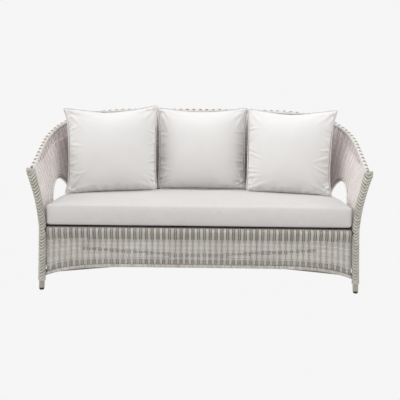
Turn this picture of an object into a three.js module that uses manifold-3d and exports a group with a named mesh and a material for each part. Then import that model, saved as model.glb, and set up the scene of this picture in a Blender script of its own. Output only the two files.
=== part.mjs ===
// A woven garden sofa for three: a bent tube frame in the shape of a tub, open weave between its tubes,
// an arched opening at the back of each arm, two bowed stretchers tied together under the seat,
// and loose cushions. Lengths are in millimetres, +Z is up, the front faces -Y and the floor is Z = 0.
import * as THREE from 'three';
import { mergeVertices } from 'three/addons/utils/BufferGeometryUtils.js';
import Module from 'manifold-3d';

const wasm = await Module();
wasm.setup();

// Driving dimensions of the frame.
const seatWidth = 1616; // between the front leg centres, at the seat rails
const seatDepth = 678; // front leg centres to the back wall, at the seat rails
const armFlare = 54; // how far the arm tip lies outside its leg
const backRake = 122; // how far the top rail lies behind the seat rail
const seatRailHeight = 320; // centre of the seat rails
const armHeight = 618; // centre of the top rail at the arm tip
const backHeight = 922; // centre of the top rail at the middle of the back
const legSplay = 12; // how far a foot stands outside its leg at the seat rails
const legDiameter = 29;
const rearLegDiameter = 28;
const seatRailDiameter = 28;
const topRailDiameter = 20;
const uprightDiameter = 16;
const apronRailDiameter = 13;
const archRodDiameter = 12;
const stretcherDiameter = 18;
const bearerDiameter = 20;
const seatGap = 0.3; // clearance between two pieces that seat on each other

// Shape of the tub in plan and along its walls, as shares and powers.
const straightShare = 0.37; // of the depth, before an arm starts to turn into the back
const seatSquareness = 8;
const rimSquareness = 5;
const flarePower = 1.7; // a wall starts upright and leans out more towards the rim
const rimCrownShare = 0.18; // how much the top rail's rise slackens towards the back

// Weave, braid and their openings.
const weaveThickness = 8;
const braidThickness = 5;
const braidFootHeight = 62; // where the braid on a front leg ends above the floor
const rearLegShare = 0.222; // of the hoop's length, from an arm tip to a rear leg
const uprightShare = 0.4; // the same, to a back upright
const archStartShare = 0.088; // the same, to the front foot of the arched opening
const archEndShare = 0.207; // the same, to its rear foot
const archRise = 225; // of the opening's crown above the seat rail's centre
const apronCrownHeight = 134; // lower edge of the front apron, at its middle
const apronFootHeight = 76; // and where it meets a leg
const apronArchPower = 6.4;
const sideApronCrownHeight = 128;
const strutShare = 0.51; // of the half width, from the middle to an apron strut

// Feet.
const glideDiameter = 27;
const glideHeight = 13;
const glideProfileShares = [[0, 0], [0.62, 0], [0.88, 0.18], [1, 0.55], [1, 1], [0, 1]]; // out and up

// Stretchers and seat deck.
const stretcherHeight = 96;
const stretcherMeetShare = 0.5; // of the way from the front legs to the rear ones
const stretcherBend = 24; // how tightly a stretcher bends at its middle, against its straighter ends
const bindingLength = 70;
const bindingThickness = 3.5;
const bearerCount = 5;
const bearerEndShare = 1.5; // of the spacing between bearers, left over at the ends
const deckThickness = 6;
const deckEdgeInset = 9;
const strapWidth = 60;
const strapGap = 56;
const crossStrapWidth = 60;
const crossStrapRows = 2;

// Cushions.
const seatCushionThickness = 113;
const seatCushionCrown = 7;
const seatCushionCrownReach = 90; // from its sides to where the crown levels off
const seatCushionRounding = 12; // where its sides meet its faces
const roundingShares = [[0.85, 0], [0.17, 0.33], [0, 1]]; // of the rounding, inwards and up
const crownShares = [[0.16, 0.15], [1, 0.8]]; // of the crown's reach and of its height
const cushionCoreShare = 0.5; // of the half width, where a face's flat middle starts
const cushionWaistShare = 0.5; // of the thickness, where the sides draw in the most
const cushionFanShare = 0.15; // of the way out from the middle, the least that a ring takes
const seatCushionDraw = 7; // how far the sides draw in between the corners
const seatCushionFrontRadius = 26;
const seatCushionSideClearance = 4.5;
const seatCushionOverhang = 12; // in front of the front leg centres
const cushionLift = 0.4; // clearance under a loose cushion
const backCushionWidthShare = 0.3218; // of the seat width
const backCushionWidth = seatWidth * backCushionWidthShare;
const backCushionHeight = 488;
const backCushionFront = 92; // crown in front of the seam
const backCushionRear = 58; // and behind it
const backCushionEdge = 6;
const backCushionCrownPower = 0.9; // below 1 the crown stays fuller towards the seam
const backCushionDraw = 20; // how far a seam draws in between its corners
const backCushionTaperShare = 0.02; // how much narrower a cushion is at its foot than at its head
const backCushionTilt = 12; // degrees from upright
const backCushionTurn = 18; // degrees that the outer cushions turn inwards
const backCushionSetback = 88; // of the middle cushion's seam, in front of the seat wall
const outerCushionSetback = 250; // the same, for the middle of an outer cushion
const backCushionSpace = 14; // between neighbouring cushions at their heads
const middleRestShare = 0.67; // of the seat cushion's crown, where the middle cushion stands on it
const outerRestShare = 0.845; // the same, where an outer cushion stands
const pipingDiameter = 6;

// Facets.
const legSides = 12;
const railSides = 10;
const rodSides = 8;
const hoopSamples = 240;
const stepShare = 0.004; // of the hoop, to find its direction at a place
const fineStepShare = 0.001; // of the hoop, to find the place at a width
const middleShare = 0.5; // of the hoop, the middle of the back
const mergeTolerance = 1e-3;
const rimSamples = 34;
const rimSteps = 38;
const legSteps = 11;
const seatRailSteps = 12;
const uprightSteps = 6;
const archSteps = 14;
const frontApronSteps = 22;
const sideApronSteps = 12;
const rearApronSteps = 18;
const apronSpread = 0.6; // a power that gathers the columns at the ends
const stretcherSteps = 14;
const legSamples = 5;
const weaveRows = 3;
const armFrontColumns = 5;
const archColumnCount = 10;
const armRearColumns = 2;
const sideBackColumns = 5;
const middleBackColumns = 4;
const deckOutlineSteps = 40;
const seatOutlineSteps = 38;
const cornerSteps = 3;
const cushionCells = 12;
const pipingSides = 5;
const pipingSteps = 7; // along each side of a cushion

const clear = seatGap;
const legRadius = legDiameter / 2;
const braidRadius = legRadius + clear + braidThickness;
const topRailRadius = topRailDiameter / 2;
const totalDepth = braidRadius + seatDepth + backRake + topRailRadius;
const frontY = -totalDepth / 2 + braidRadius;
const halfSeat = seatWidth / 2;

// Plain finishes, one for each kind of piece.
const finish = (color, roughness, metalness = 0) =>
  new THREE.MeshStandardMaterial({ color, roughness, metalness });
const framePaint = finish(0xb4a69a, 0.45, 0.2);
const weaveFinish = finish(0xcfc8be, 0.6);
const braidFinish = finish(0xb5b0a5, 0.6);
const strapFinish = finish(0x9c958b, 0.7);
const glidePlastic = finish(0x161616, 0.5);
const clothFinish = finish(0xf1efec, 0.9);

const sofa = new THREE.Group();
function add(name, geometry, material) {
  const mesh = new THREE.Mesh(geometry, material);
  mesh.name = name;
  sofa.add(mesh);
  return mesh;
}

// Solids to and from manifold-3d, for coped ends and cut edges.
function solidOf(geometry) {
  const plain = geometry.clone();
  plain.deleteAttribute('normal');
  plain.deleteAttribute('uv');
  const merged = mergeVertices(plain, mergeTolerance);
  const triVerts = new Uint32Array(merged.index.array);
  const vertProperties = new Float32Array(merged.attributes.position.array);
  return new wasm.Manifold(new wasm.Mesh({ numProp: 3, vertProperties, triVerts }));
}
function geometryOf(solid) {
  const mesh = solid.getMesh();
  const geometry = new THREE.BufferGeometry();
  geometry.setAttribute('position', new THREE.BufferAttribute(mesh.vertProperties, 3));
  geometry.setIndex(new THREE.BufferAttribute(mesh.triVerts, 1));
  geometry.computeVertexNormals();
  return geometry;
}
// What is left of a solid after its cuts; slivers beyond a cut are dropped.
function cut(geometry, ...cutters) {
  const left = cutters.reduce((solid, cutter) => solid.subtract(cutter), solidOf(geometry));
  const bodies = left.decompose().sort((a, b) => b.volume() - a.volume());
  return geometryOf(bodies[0]);
}

// A tool tube that clears a round tube of a given radius, facets and all.
const clearing = (path, radius, steps, sides = railSides) =>
  solidOf(tube(path, (radius + clear) / Math.cos(Math.PI / sides), steps, sides));

// A round tube of a given radius along a path.
function tube(path, radius, steps, sides = railSides) {
  const section = new THREE.Shape();
  for (let i = 0; i < sides; i++) {
    const angle = ((i + 0.5) / sides) * Math.PI * 2;
    const corner = [Math.cos(angle) * radius, Math.sin(angle) * radius];
    if (i === 0) section.moveTo(...corner);
    else section.lineTo(...corner);
  }
  return new THREE.ExtrudeGeometry(section, { extrudePath: path, steps, bevelEnabled: false });
}
const through = (points) => new THREE.CatmullRomCurve3(points, false, 'centripetal');

// A path that a function of 0 to 1 gives, sampled closely enough to hold its shape.
function pathOf(pointAt, samples) {
  const points = [];
  for (let i = 0; i <= samples; i++) points.push(pointAt(i / samples));
  return through(points);
}

// The tub's plan: straight arms that turn into the back along a superellipse.
// It is followed from the left arm tip (0) to the right one (1), evenly by length.
function hoop(halfWidth, depth, squareness) {
  const cornerY = frontY + depth * straightShare;
  const sweep = frontY + depth - cornerY;
  const points = [new THREE.Vector2(-halfWidth, frontY)];
  for (let i = 0; i <= hoopSamples; i++) {
    const angle = Math.PI * (1 - i / hoopSamples);
    const across = Math.abs(Math.cos(angle)) ** (2 / squareness);
    const side = i * 2 < hoopSamples ? -across : across;
    points.push(new THREE.Vector2(side * halfWidth, cornerY + Math.sin(angle) * sweep));
  }
  points.push(new THREE.Vector2(halfWidth, frontY));
  const lengths = [0];
  for (let i = 1; i < points.length; i++) {
    lengths.push(lengths[i - 1] + points[i].distanceTo(points[i - 1]));
  }
  const total = lengths[lengths.length - 1];
  return (share) => {
    const target = Math.min(Math.max(share, 0), 1) * total;
    let i = 1;
    while (i < points.length - 1 && lengths[i] < target) i++;
    const part = (target - lengths[i - 1]) / (lengths[i] - lengths[i - 1]);
    return points[i - 1].clone().lerp(points[i], part);
  };
}
const seatHoop = hoop(halfSeat, seatDepth, seatSquareness);
const rimHoop = hoop(halfSeat + armFlare, seatDepth + backRake, rimSquareness);

// The top rail climbs from the arm tips to the back, by how far back it is.
function rimPoint(share) {
  const plan = rimHoop(share);
  const back = (plan.y - frontY) / (seatDepth + backRake);
  const rise = back * (1 + rimCrownShare - rimCrownShare * back);
  return new THREE.Vector3(plan.x, plan.y, armHeight + (backHeight - armHeight) * rise);
}

// The wall between the seat rail (up = 0) and the top rail (up = 1).
function wallPoint(share, up) {
  const foot = seatHoop(share);
  const top = rimPoint(share);
  const lean = up ** flarePower;
  return new THREE.Vector3(
    THREE.MathUtils.lerp(foot.x, top.x, lean),
    THREE.MathUtils.lerp(foot.y, top.y, lean),
    THREE.MathUtils.lerp(seatRailHeight, top.z, up),
  );
}

// Below the seat rail the walls splay outwards with the legs.
function outward(share) {
  const along = seatHoop(share + stepShare).sub(seatHoop(share - stepShare)).normalize();
  return new THREE.Vector2(-along.y, along.x);
}
function skirtPoint(share, height) {
  const away = outward(share).multiplyScalar(legSplay * (1 - height / seatRailHeight));
  const foot = seatHoop(share).add(away);
  return new THREE.Vector3(foot.x, foot.y, height);
}

// A closed solid between two grids of points, which share their outline's order.
function between(columns, rows, front, rear) {
  const vertices = [];
  const faces = [];
  const at = (layer, i, j) => layer * (columns + 1) * (rows + 1) + i * (rows + 1) + j;
  for (const side of [front, rear]) {
    for (let i = 0; i <= columns; i++) {
      for (let j = 0; j <= rows; j++) vertices.push(...side(i, j).toArray());
    }
  }
  const quad = (a, b, c, d) => faces.push(a, b, c, a, c, d);
  for (let i = 0; i < columns; i++) {
    for (let j = 0; j < rows; j++) {
      quad(at(0, i, j), at(0, i + 1, j), at(0, i + 1, j + 1), at(0, i, j + 1));
      quad(at(1, i, j), at(1, i, j + 1), at(1, i + 1, j + 1), at(1, i + 1, j));
    }
    quad(at(0, i, 0), at(1, i, 0), at(1, i + 1, 0), at(0, i + 1, 0));
    quad(at(0, i, rows), at(0, i + 1, rows), at(1, i + 1, rows), at(1, i, rows));
  }
  for (let j = 0; j < rows; j++) {
    quad(at(0, 0, j), at(0, 0, j + 1), at(1, 0, j + 1), at(1, 0, j));
    quad(at(0, columns, j), at(1, columns, j), at(1, columns, j + 1), at(0, columns, j + 1));
  }
  const geometry = new THREE.BufferGeometry();
  geometry.setAttribute('position', new THREE.Float32BufferAttribute(vertices, 3));
  geometry.setIndex(faces);
  geometry.computeVertexNormals();
  return geometry;
}

// A panel of weave on a surface given as a point for each column and height.
function panel(shares, rows, pointAt) {
  const grid = shares.map((share) => {
    const column = [];
    for (let j = 0; j <= rows; j++) column.push(pointAt(share, j / rows));
    return column;
  });
  const columns = shares.length - 1;
  const facing = (i, j) => {
    const across = grid[Math.min(i + 1, columns)][j].clone().sub(grid[Math.max(i - 1, 0)][j]);
    const up = grid[i][Math.min(j + 1, rows)].clone().sub(grid[i][Math.max(j - 1, 0)]);
    return across.cross(up).normalize().multiplyScalar(weaveThickness / 2);
  };
  return between(
    columns,
    rows,
    (i, j) => grid[i][j].clone().add(facing(i, j)),
    (i, j) => grid[i][j].clone().sub(facing(i, j)),
  );
}
function spread(from, to, count) {
  return Array.from({ length: count + 1 }, (_, i) => from + ((to - from) * i) / count);
}

// Frame: legs, rails and uprights.
const rimPath = () => {
  const startNose = rimPoint(0);
  const endNose = rimPoint(1);
  startNose.y -= braidRadius;
  endNose.y -= braidRadius;
  const points = [startNose];
  for (const share of spread(0, 1, rimSamples)) points.push(rimPoint(share));
  points.push(endNose);
  return through(points);
};
const rimCutter = clearing(rimPath(), topRailRadius, rimSteps);
add('top_rail', tube(rimPath(), topRailRadius, rimSteps), framePaint);

// A leg runs up from its glide, past the seat rail, to the underside of the top rail.
function legPath(share, bottom, top) {
  const points = [skirtPoint(share, bottom), skirtPoint(share, (bottom + seatRailHeight) / 2)];
  for (const up of spread(0, top, legSamples)) points.push(wallPoint(share, up));
  return through(points);
}
// The ends under the top rail are cut along its underside.
function underRim(solid, share) {
  const along = rimPoint(share + stepShare).sub(rimPoint(share - stepShare)).normalize();
  const up = wallPoint(share, 1).sub(wallPoint(share, 1 - 2 * stepShare));
  up.addScaledVector(along, -up.dot(along)).normalize();
  const down = up.clone().negate();
  const plane = rimPoint(share).addScaledVector(down, topRailRadius + clear);
  return solid.trimByPlane(down.toArray(), plane.dot(down)).subtract(rimCutter);
}
// A foot is cut level, where it meets its glide or where its braid ends.
function legTube(share, radius, bottom) {
  const blank = solidOf(tube(legPath(share, 0, 1), radius, legSteps, legSides));
  return underRim(blank.trimByPlane([0, 0, 1], bottom), share);
}
const legClearing = (share, radius) => clearing(legPath(share, 0, 1), radius, legSteps, legSides);
const rearLegRadius = rearLegDiameter / 2;

const frontLegShares = { left: 0, right: 1 };
const rearLegShares = { left: rearLegShare, right: 1 - rearLegShare };
const braidCutters = [];
const rearLegCutters = [];
for (const [side, share] of Object.entries(frontLegShares)) {
  add(`front_leg_${side}`, geometryOf(legTube(share, legRadius, glideHeight + clear)), framePaint);
  const bore = legClearing(share, legRadius);
  const braid = legTube(share, braidRadius, braidFootHeight).subtract(bore);
  add(`front_leg_braid_${side}`, geometryOf(braid), braidFinish);
  braidCutters.push(legClearing(share, braidRadius));
}
for (const [side, share] of Object.entries(rearLegShares)) {
  const leg = legTube(share, rearLegRadius, glideHeight + clear);
  add(`rear_leg_${side}`, geometryOf(leg), framePaint);
  rearLegCutters.push(legClearing(share, rearLegRadius));
}

// Glides close the leg ends and carry the sofa.
function glide(share) {
  const foot = skirtPoint(share, 0);
  const radius = glideDiameter / 2;
  const profile = glideProfileShares.map(([out, up]) => new THREE.Vector2(radius * out, glideHeight * up));
  return new THREE.LatheGeometry(profile, legSides).rotateX(Math.PI / 2).translate(foot.x, foot.y, 0);
}
for (const [side, share] of Object.entries(frontLegShares)) {
  add(`glide_front_${side}`, glide(share), glidePlastic);
}
for (const [side, share] of Object.entries(rearLegShares)) {
  add(`glide_rear_${side}`, glide(share), glidePlastic);
}

// Seat rails: a straight one in front and three bent ones round the tub.
const seatRailRadius = seatRailDiameter / 2;
const seatRailPath = (from, to) =>
  pathOf((t) => wallPoint(THREE.MathUtils.lerp(from, to, t), 0), seatRailSteps);
const frontRailPath = new THREE.LineCurve3(wallPoint(0, 0), wallPoint(1, 0));
const leftRailPath = seatRailPath(0, rearLegShare);
const rightRailPath = seatRailPath(1 - rearLegShare, 1);
const rearRailPath = seatRailPath(rearLegShare, 1 - rearLegShare);
const seatRail = (path, steps, ...cutters) =>
  cut(tube(path, seatRailRadius, steps), ...cutters);
add('seat_rail_front', seatRail(frontRailPath, 1, ...braidCutters), framePaint);
const sideRailCutters = { left: [braidCutters[0], rearLegCutters[0]] };
sideRailCutters.right = [braidCutters[1], rearLegCutters[1]];
add('seat_rail_left', seatRail(leftRailPath, seatRailSteps, ...sideRailCutters.left), framePaint);
add('seat_rail_right', seatRail(rightRailPath, seatRailSteps, ...sideRailCutters.right), framePaint);
add('seat_rail_rear', seatRail(rearRailPath, seatRailSteps, ...rearLegCutters), framePaint);
const frontRailCutter = clearing(frontRailPath, seatRailRadius, 1);
const leftRailCutter = clearing(leftRailPath, seatRailRadius, seatRailSteps);
const rightRailCutter = clearing(rightRailPath, seatRailRadius, seatRailSteps);
const rearRailCutter = clearing(rearRailPath, seatRailRadius, seatRailSteps);
const seatRailCutters = [frontRailCutter, leftRailCutter, rightRailCutter, rearRailCutter];

// Back uprights stand between the seat rail and the top rail.
const uprightRadius = uprightDiameter / 2;
const uprightShares = { left: uprightShare, right: 1 - uprightShare };
const uprightCutters = [];
for (const [side, share] of Object.entries(uprightShares)) {
  const path = pathOf((t) => wallPoint(share, t), uprightSteps);
  const solid = underRim(solidOf(tube(path, uprightRadius, uprightSteps, rodSides)), share);
  add(`back_upright_${side}`, geometryOf(solid.subtract(rearRailCutter)), framePaint);
  uprightCutters.push(clearing(path, uprightRadius, uprightSteps, rodSides));
}

// Arch rods frame the openings at the back of the arms.
const archMiddleShare = (archStartShare + archEndShare) / 2;
const archHalfShare = (archEndShare - archStartShare) / 2;
function archPoint(turn, rise) {
  const share = archMiddleShare - archHalfShare * Math.cos(turn);
  const foot = wallPoint(share, 0);
  const span = rimPoint(share).z - foot.z;
  return { share, up: (rise * Math.sin(turn)) / span };
}
const archPath = pathOf((t) => {
  const { share, up } = archPoint(Math.PI * t, archRise);
  return wallPoint(share, up);
}, archSteps);
const archRodRadius = archRodDiameter / 2;
const archRod = cut(tube(archPath, archRodRadius, archSteps, rodSides), leftRailCutter);
const archCutter = clearing(archPath, archRodRadius, archSteps, rodSides);
const mirrorX = new THREE.Matrix4().makeScale(-1, 1, 1);
function mirrored(geometry) {
  const flipped = geometry.clone().applyMatrix4(mirrorX);
  const index = flipped.index.array;
  for (let i = 0; i < index.length; i += 3) {
    [index[i + 1], index[i + 2]] = [index[i + 2], index[i + 1]];
  }
  flipped.computeVertexNormals();
  return flipped;
}
add('arch_rod_left', archRod, framePaint);
add('arch_rod_right', mirrored(archRod), framePaint);

// Woven arms, with the opening left under the arch rod.
function archColumns() {
  const shares = spread(0, archStartShare, armFrontColumns);
  for (const turn of spread(0, Math.PI, archColumnCount).slice(1)) {
    shares.push(archPoint(turn, archRise).share);
  }
  shares.push(...spread(archEndShare, rearLegShare, armRearColumns).slice(1));
  return shares;
}
function archFoot(share) {
  const off = (share - archMiddleShare) / archHalfShare;
  if (Math.abs(off) >= 1) return 0;
  return archPoint(Math.acos(-off), archRise).up;
}
const armWeave = cut(
  panel(archColumns(), weaveRows, (share, t) => {
    const foot = archFoot(share);
    return wallPoint(share, foot + (1 - foot) * t);
  }),
  rimCutter,
  leftRailCutter,
  archCutter,
  ...sideRailCutters.left,
);
add('arm_weave_left', armWeave, weaveFinish);
add('arm_weave_right', mirrored(armWeave), weaveFinish);

// Woven back, in three panels between the rear legs and the uprights.
function backWeave(from, to, count, ...cutters) {
  return cut(panel(spread(from, to, count), weaveRows, wallPoint), rimCutter, rearRailCutter, ...cutters);
}
const sideBackCutters = [rearLegCutters[0], uprightCutters[0]];
const sideBack = backWeave(rearLegShare, uprightShare, sideBackColumns, ...sideBackCutters);
add('back_weave_left', sideBack, weaveFinish);
add('back_weave_right', mirrored(sideBack), weaveFinish);
const middleBack = backWeave(uprightShare, 1 - uprightShare, middleBackColumns, ...uprightCutters);
add('back_weave_middle', middleBack, weaveFinish);

// Lower rails follow the arched edge of each apron.
function apronEdge(across, crown) {
  return crown - (crown - apronFootHeight) * Math.abs(across) ** apronArchPower;
}
function frontApronPoint(across, up, low) {
  const height = THREE.MathUtils.lerp(low, seatRailHeight, up);
  const half = halfSeat + legSplay * (1 - height / seatRailHeight);
  return new THREE.Vector3(across * half, frontY, height);
}
const apronRailRadius = apronRailDiameter / 2;
const frontApronPath = pathOf((t) => {
  const across = Math.sign(2 * t - 1) * Math.abs(2 * t - 1) ** apronSpread;
  return frontApronPoint(across, 0, apronEdge(across, apronCrownHeight));
}, frontApronSteps);
const apronRail = (path, steps, ...cutters) =>
  cut(tube(path, apronRailRadius, steps, rodSides), ...cutters);
add('apron_rail_front', apronRail(frontApronPath, frontApronSteps, ...braidCutters), framePaint);
const edgeBetween = (from, to) => (t) =>
  skirtPoint(THREE.MathUtils.lerp(from, to, t), apronEdge(2 * t - 1, sideApronCrownHeight));
const sideApronPath = pathOf(edgeBetween(0, rearLegShare), sideApronSteps);
const rearApronPath = pathOf(edgeBetween(rearLegShare, 1 - rearLegShare), rearApronSteps);
add('apron_rail_rear', apronRail(rearApronPath, rearApronSteps, ...rearLegCutters), framePaint);
const frontApronCutter = clearing(frontApronPath, apronRailRadius, frontApronSteps, rodSides);
const sideApronCutter = clearing(sideApronPath, apronRailRadius, sideApronSteps, rodSides);
const rearApronCutter = clearing(rearApronPath, apronRailRadius, rearApronSteps, rodSides);

// Two bowed stretchers meet at the middle, where a binding ties them.
const stretcherRadius = stretcherDiameter / 2;
const rearLegFoot = skirtPoint(rearLegShare, stretcherHeight);
const frontLegFoot = skirtPoint(0, stretcherHeight);
frontLegFoot.y += stretcherRadius;
const meetY = THREE.MathUtils.lerp(frontLegFoot.y, rearLegFoot.y, stretcherMeetShare);
const meetGap = stretcherRadius + clear / 2;
function bowed(foot, middleY) {
  return pathOf((t) => {
    const across = 2 * t - 1;
    const bow = (Math.sqrt(1 + stretcherBend * across * across) - 1) / (Math.sqrt(1 + stretcherBend) - 1);
    return new THREE.Vector3(
      Math.abs(foot.x) * across,
      THREE.MathUtils.lerp(middleY, foot.y, bow),
      stretcherHeight,
    );
  }, stretcherSteps);
}
const frontStretcherPath = bowed(frontLegFoot, meetY - meetGap);
const rearStretcherPath = bowed(rearLegFoot, meetY + meetGap);
const stretcher = (path, ...cutters) =>
  cut(tube(path, stretcherRadius, stretcherSteps, rodSides), ...cutters);
const frontStretcherCutter = clearing(frontStretcherPath, stretcherRadius, stretcherSteps, rodSides);
const rearStretcherCutter = clearing(rearStretcherPath, stretcherRadius, stretcherSteps, rodSides);
const stretcherCutters = [frontStretcherCutter, rearStretcherCutter];
const sideApronEnds = [...sideRailCutters.left, frontStretcherCutter];
const sideApronRail = apronRail(sideApronPath, sideApronSteps, ...sideApronEnds);
add('apron_rail_left', sideApronRail, framePaint);
add('apron_rail_right', mirrored(sideApronRail), framePaint);
add('stretcher_front', stretcher(frontStretcherPath, ...braidCutters, frontApronCutter), framePaint);
add('stretcher_rear', stretcher(rearStretcherPath, ...rearLegCutters, rearApronCutter), framePaint);
const bindingSection = (grow) => {
  const section = new THREE.Shape();
  section.absarc(meetGap, 0, stretcherRadius + grow, -Math.PI / 2, Math.PI / 2, false);
  section.absarc(-meetGap, 0, stretcherRadius + grow, Math.PI / 2, (Math.PI * 3) / 2, false);
  return section;
};
const bindingBlock = new THREE.ExtrudeGeometry(bindingSection(clear + bindingThickness), {
  depth: bindingLength,
  bevelEnabled: false,
  curveSegments: 6,
});
bindingBlock.translate(0, 0, -bindingLength / 2).rotateZ(Math.PI / 2).rotateY(Math.PI / 2);
bindingBlock.translate(0, meetY, stretcherHeight);
add('stretcher_binding', cut(bindingBlock, ...stretcherCutters), strapFinish);

// Aprons of weave hang from the seat rails to the lower rails.
const frontApron = panel(
  spread(-1, 1, frontApronSteps).map((x) => Math.sign(x) * Math.abs(x) ** apronSpread),
  1,
  (across, t) => frontApronPoint(across, t, apronEdge(across, apronCrownHeight)),
);
add(
  'apron_weave_front',
  cut(frontApron, frontApronCutter, frontRailCutter, frontStretcherCutter, ...braidCutters),
  weaveFinish,
);
function apronWeave(from, to, steps, ...cutters) {
  const surface = panel(spread(0, 1, steps), 1, (t, up) => {
    const low = edgeBetween(from, to)(t);
    const share = THREE.MathUtils.lerp(from, to, t);
    return skirtPoint(share, THREE.MathUtils.lerp(low.z, seatRailHeight, up));
  });
  return cut(surface, ...stretcherCutters, ...cutters);
}
const sideCutters = [sideApronCutter, leftRailCutter, ...sideRailCutters.left];
const sideApron = apronWeave(0, rearLegShare, sideApronSteps, ...sideCutters);
add('apron_weave_left', sideApron, weaveFinish);
add('apron_weave_right', mirrored(sideApron), weaveFinish);
const rearCutters = [rearApronCutter, rearRailCutter, ...rearLegCutters];
const rearApron = apronWeave(rearLegShare, 1 - rearLegShare, rearApronSteps, ...rearCutters);
add('apron_weave_rear', rearApron, weaveFinish);

// Struts stand behind the front apron and inside the rear one.
const strutRadius = apronRailRadius;
const strutOffset = weaveThickness / 2 + clear + strutRadius;
function strut(x, y, ...cutters) {
  const foot = new THREE.Vector3(x, y, apronCrownHeight);
  const head = new THREE.Vector3(x, y, seatRailHeight);
  return cut(tube(new THREE.LineCurve3(foot, head), strutRadius, 1, rodSides), ...cutters);
}
const rearWall = skirtPoint(middleShare, seatRailHeight).y;
for (const [side, sign] of [['left', -1], ['right', 1]]) {
  const x = sign * strutShare * halfSeat;
  const front = strut(x, frontY + strutOffset, frontRailCutter, frontApronCutter);
  const rear = strut(x, rearWall - strutOffset, rearRailCutter, rearApronCutter);
  add(`front_strut_${side}`, front, framePaint);
  add(`rear_strut_${side}`, rear, framePaint);
}

// Bearers run from the front rail to the rear one, their tops level with the rails.
const bearerRadius = bearerDiameter / 2;
const bearerHeight = seatRailHeight + seatRailRadius - bearerRadius;
const rearInner = (x) => {
  let share = middleShare;
  while (share > 0 && seatHoop(share).x > -Math.abs(x)) share -= fineStepShare;
  return seatHoop(share).y;
};
const bearerSpacing = seatWidth / (bearerCount + bearerEndShare);
for (let i = 0; i < bearerCount; i++) {
  const x = (i - (bearerCount - 1) / 2) * bearerSpacing;
  const ends = [
    new THREE.Vector3(x, frontY, bearerHeight),
    new THREE.Vector3(x, rearInner(x), bearerHeight),
  ];
  const bearer = tube(new THREE.LineCurve3(...ends), bearerRadius, 1, railSides);
  add(`seat_bearer_${i + 1}`, cut(bearer, ...seatRailCutters, ...uprightCutters), framePaint);
}

// The deck of straps lies on the bearers, inside the walls.
const deckTop = seatRailHeight + seatRailRadius + clear + deckThickness;
const deckInset = Math.max(braidRadius, rearLegRadius) + clear + deckEdgeInset;
function insideHoop(inset, count) {
  return spread(0, 1, count).map((share) => seatHoop(share).addScaledVector(outward(share), -inset));
}
function seatDeck() {
  const outline = insideHoop(deckInset, deckOutlineSteps);
  const pitch = strapWidth + strapGap;
  const half = halfSeat - deckInset - strapWidth;
  const columns = Math.floor((2 * half + strapGap) / pitch);
  const front = outline[0].y + crossStrapWidth;
  const holes = [];
  for (let i = 0; i < columns; i++) {
    const middle = (i - (columns - 1) / 2) * pitch;
    const reach = rearInner(Math.abs(middle) + strapGap) - deckInset - crossStrapWidth;
    const room = (reach - front - crossStrapWidth * (crossStrapRows - 1)) / crossStrapRows;
    for (let j = 0; j < crossStrapRows; j++) {
      const low = front + j * (room + crossStrapWidth);
      const hole = new THREE.BoxGeometry(strapGap, room, deckThickness * 3);
      holes.push(solidOf(hole.translate(middle, low + room / 2, deckThickness / 2)));
    }
  }
  const depth = deckThickness;
  const blank = new THREE.ExtrudeGeometry(new THREE.Shape(outline), { depth, bevelEnabled: false });
  return cut(blank, ...holes).translate(0, 0, deckTop - deckThickness);
}
add('seat_deck', seatDeck(), strapFinish);

// A stack of rings with the same number of points, closed at both ends by a fan.
function lofted(rings) {
  const count = rings[0].length;
  const vertices = rings.flat().flatMap((p) => p.toArray());
  const faces = [];
  for (let r = 0; r < rings.length - 1; r++) {
    for (let i = 0; i < count; i++) {
      const next = (i + 1) % count;
      const [a, b] = [r * count + i, r * count + next];
      const [c, d] = [(r + 1) * count + next, (r + 1) * count + i];
      faces.push(a, b, c, a, c, d);
    }
  }
  for (const [ring, turned] of [[0, true], [rings.length - 1, false]]) {
    const middle = vertices.length / 3;
    const centre = new THREE.Vector3();
    rings[ring].forEach((p) => centre.addScaledVector(p, 1 / count));
    vertices.push(...centre.toArray());
    for (let i = 0; i < count; i++) {
      const edge = [ring * count + i, ring * count + ((i + 1) % count)];
      if (turned) edge.reverse();
      faces.push(edge[0], edge[1], middle);
    }
  }
  const geometry = new THREE.BufferGeometry();
  geometry.setAttribute('position', new THREE.Float32BufferAttribute(vertices, 3));
  geometry.setIndex(faces);
  geometry.computeVertexNormals();
  return geometry;
}

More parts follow.
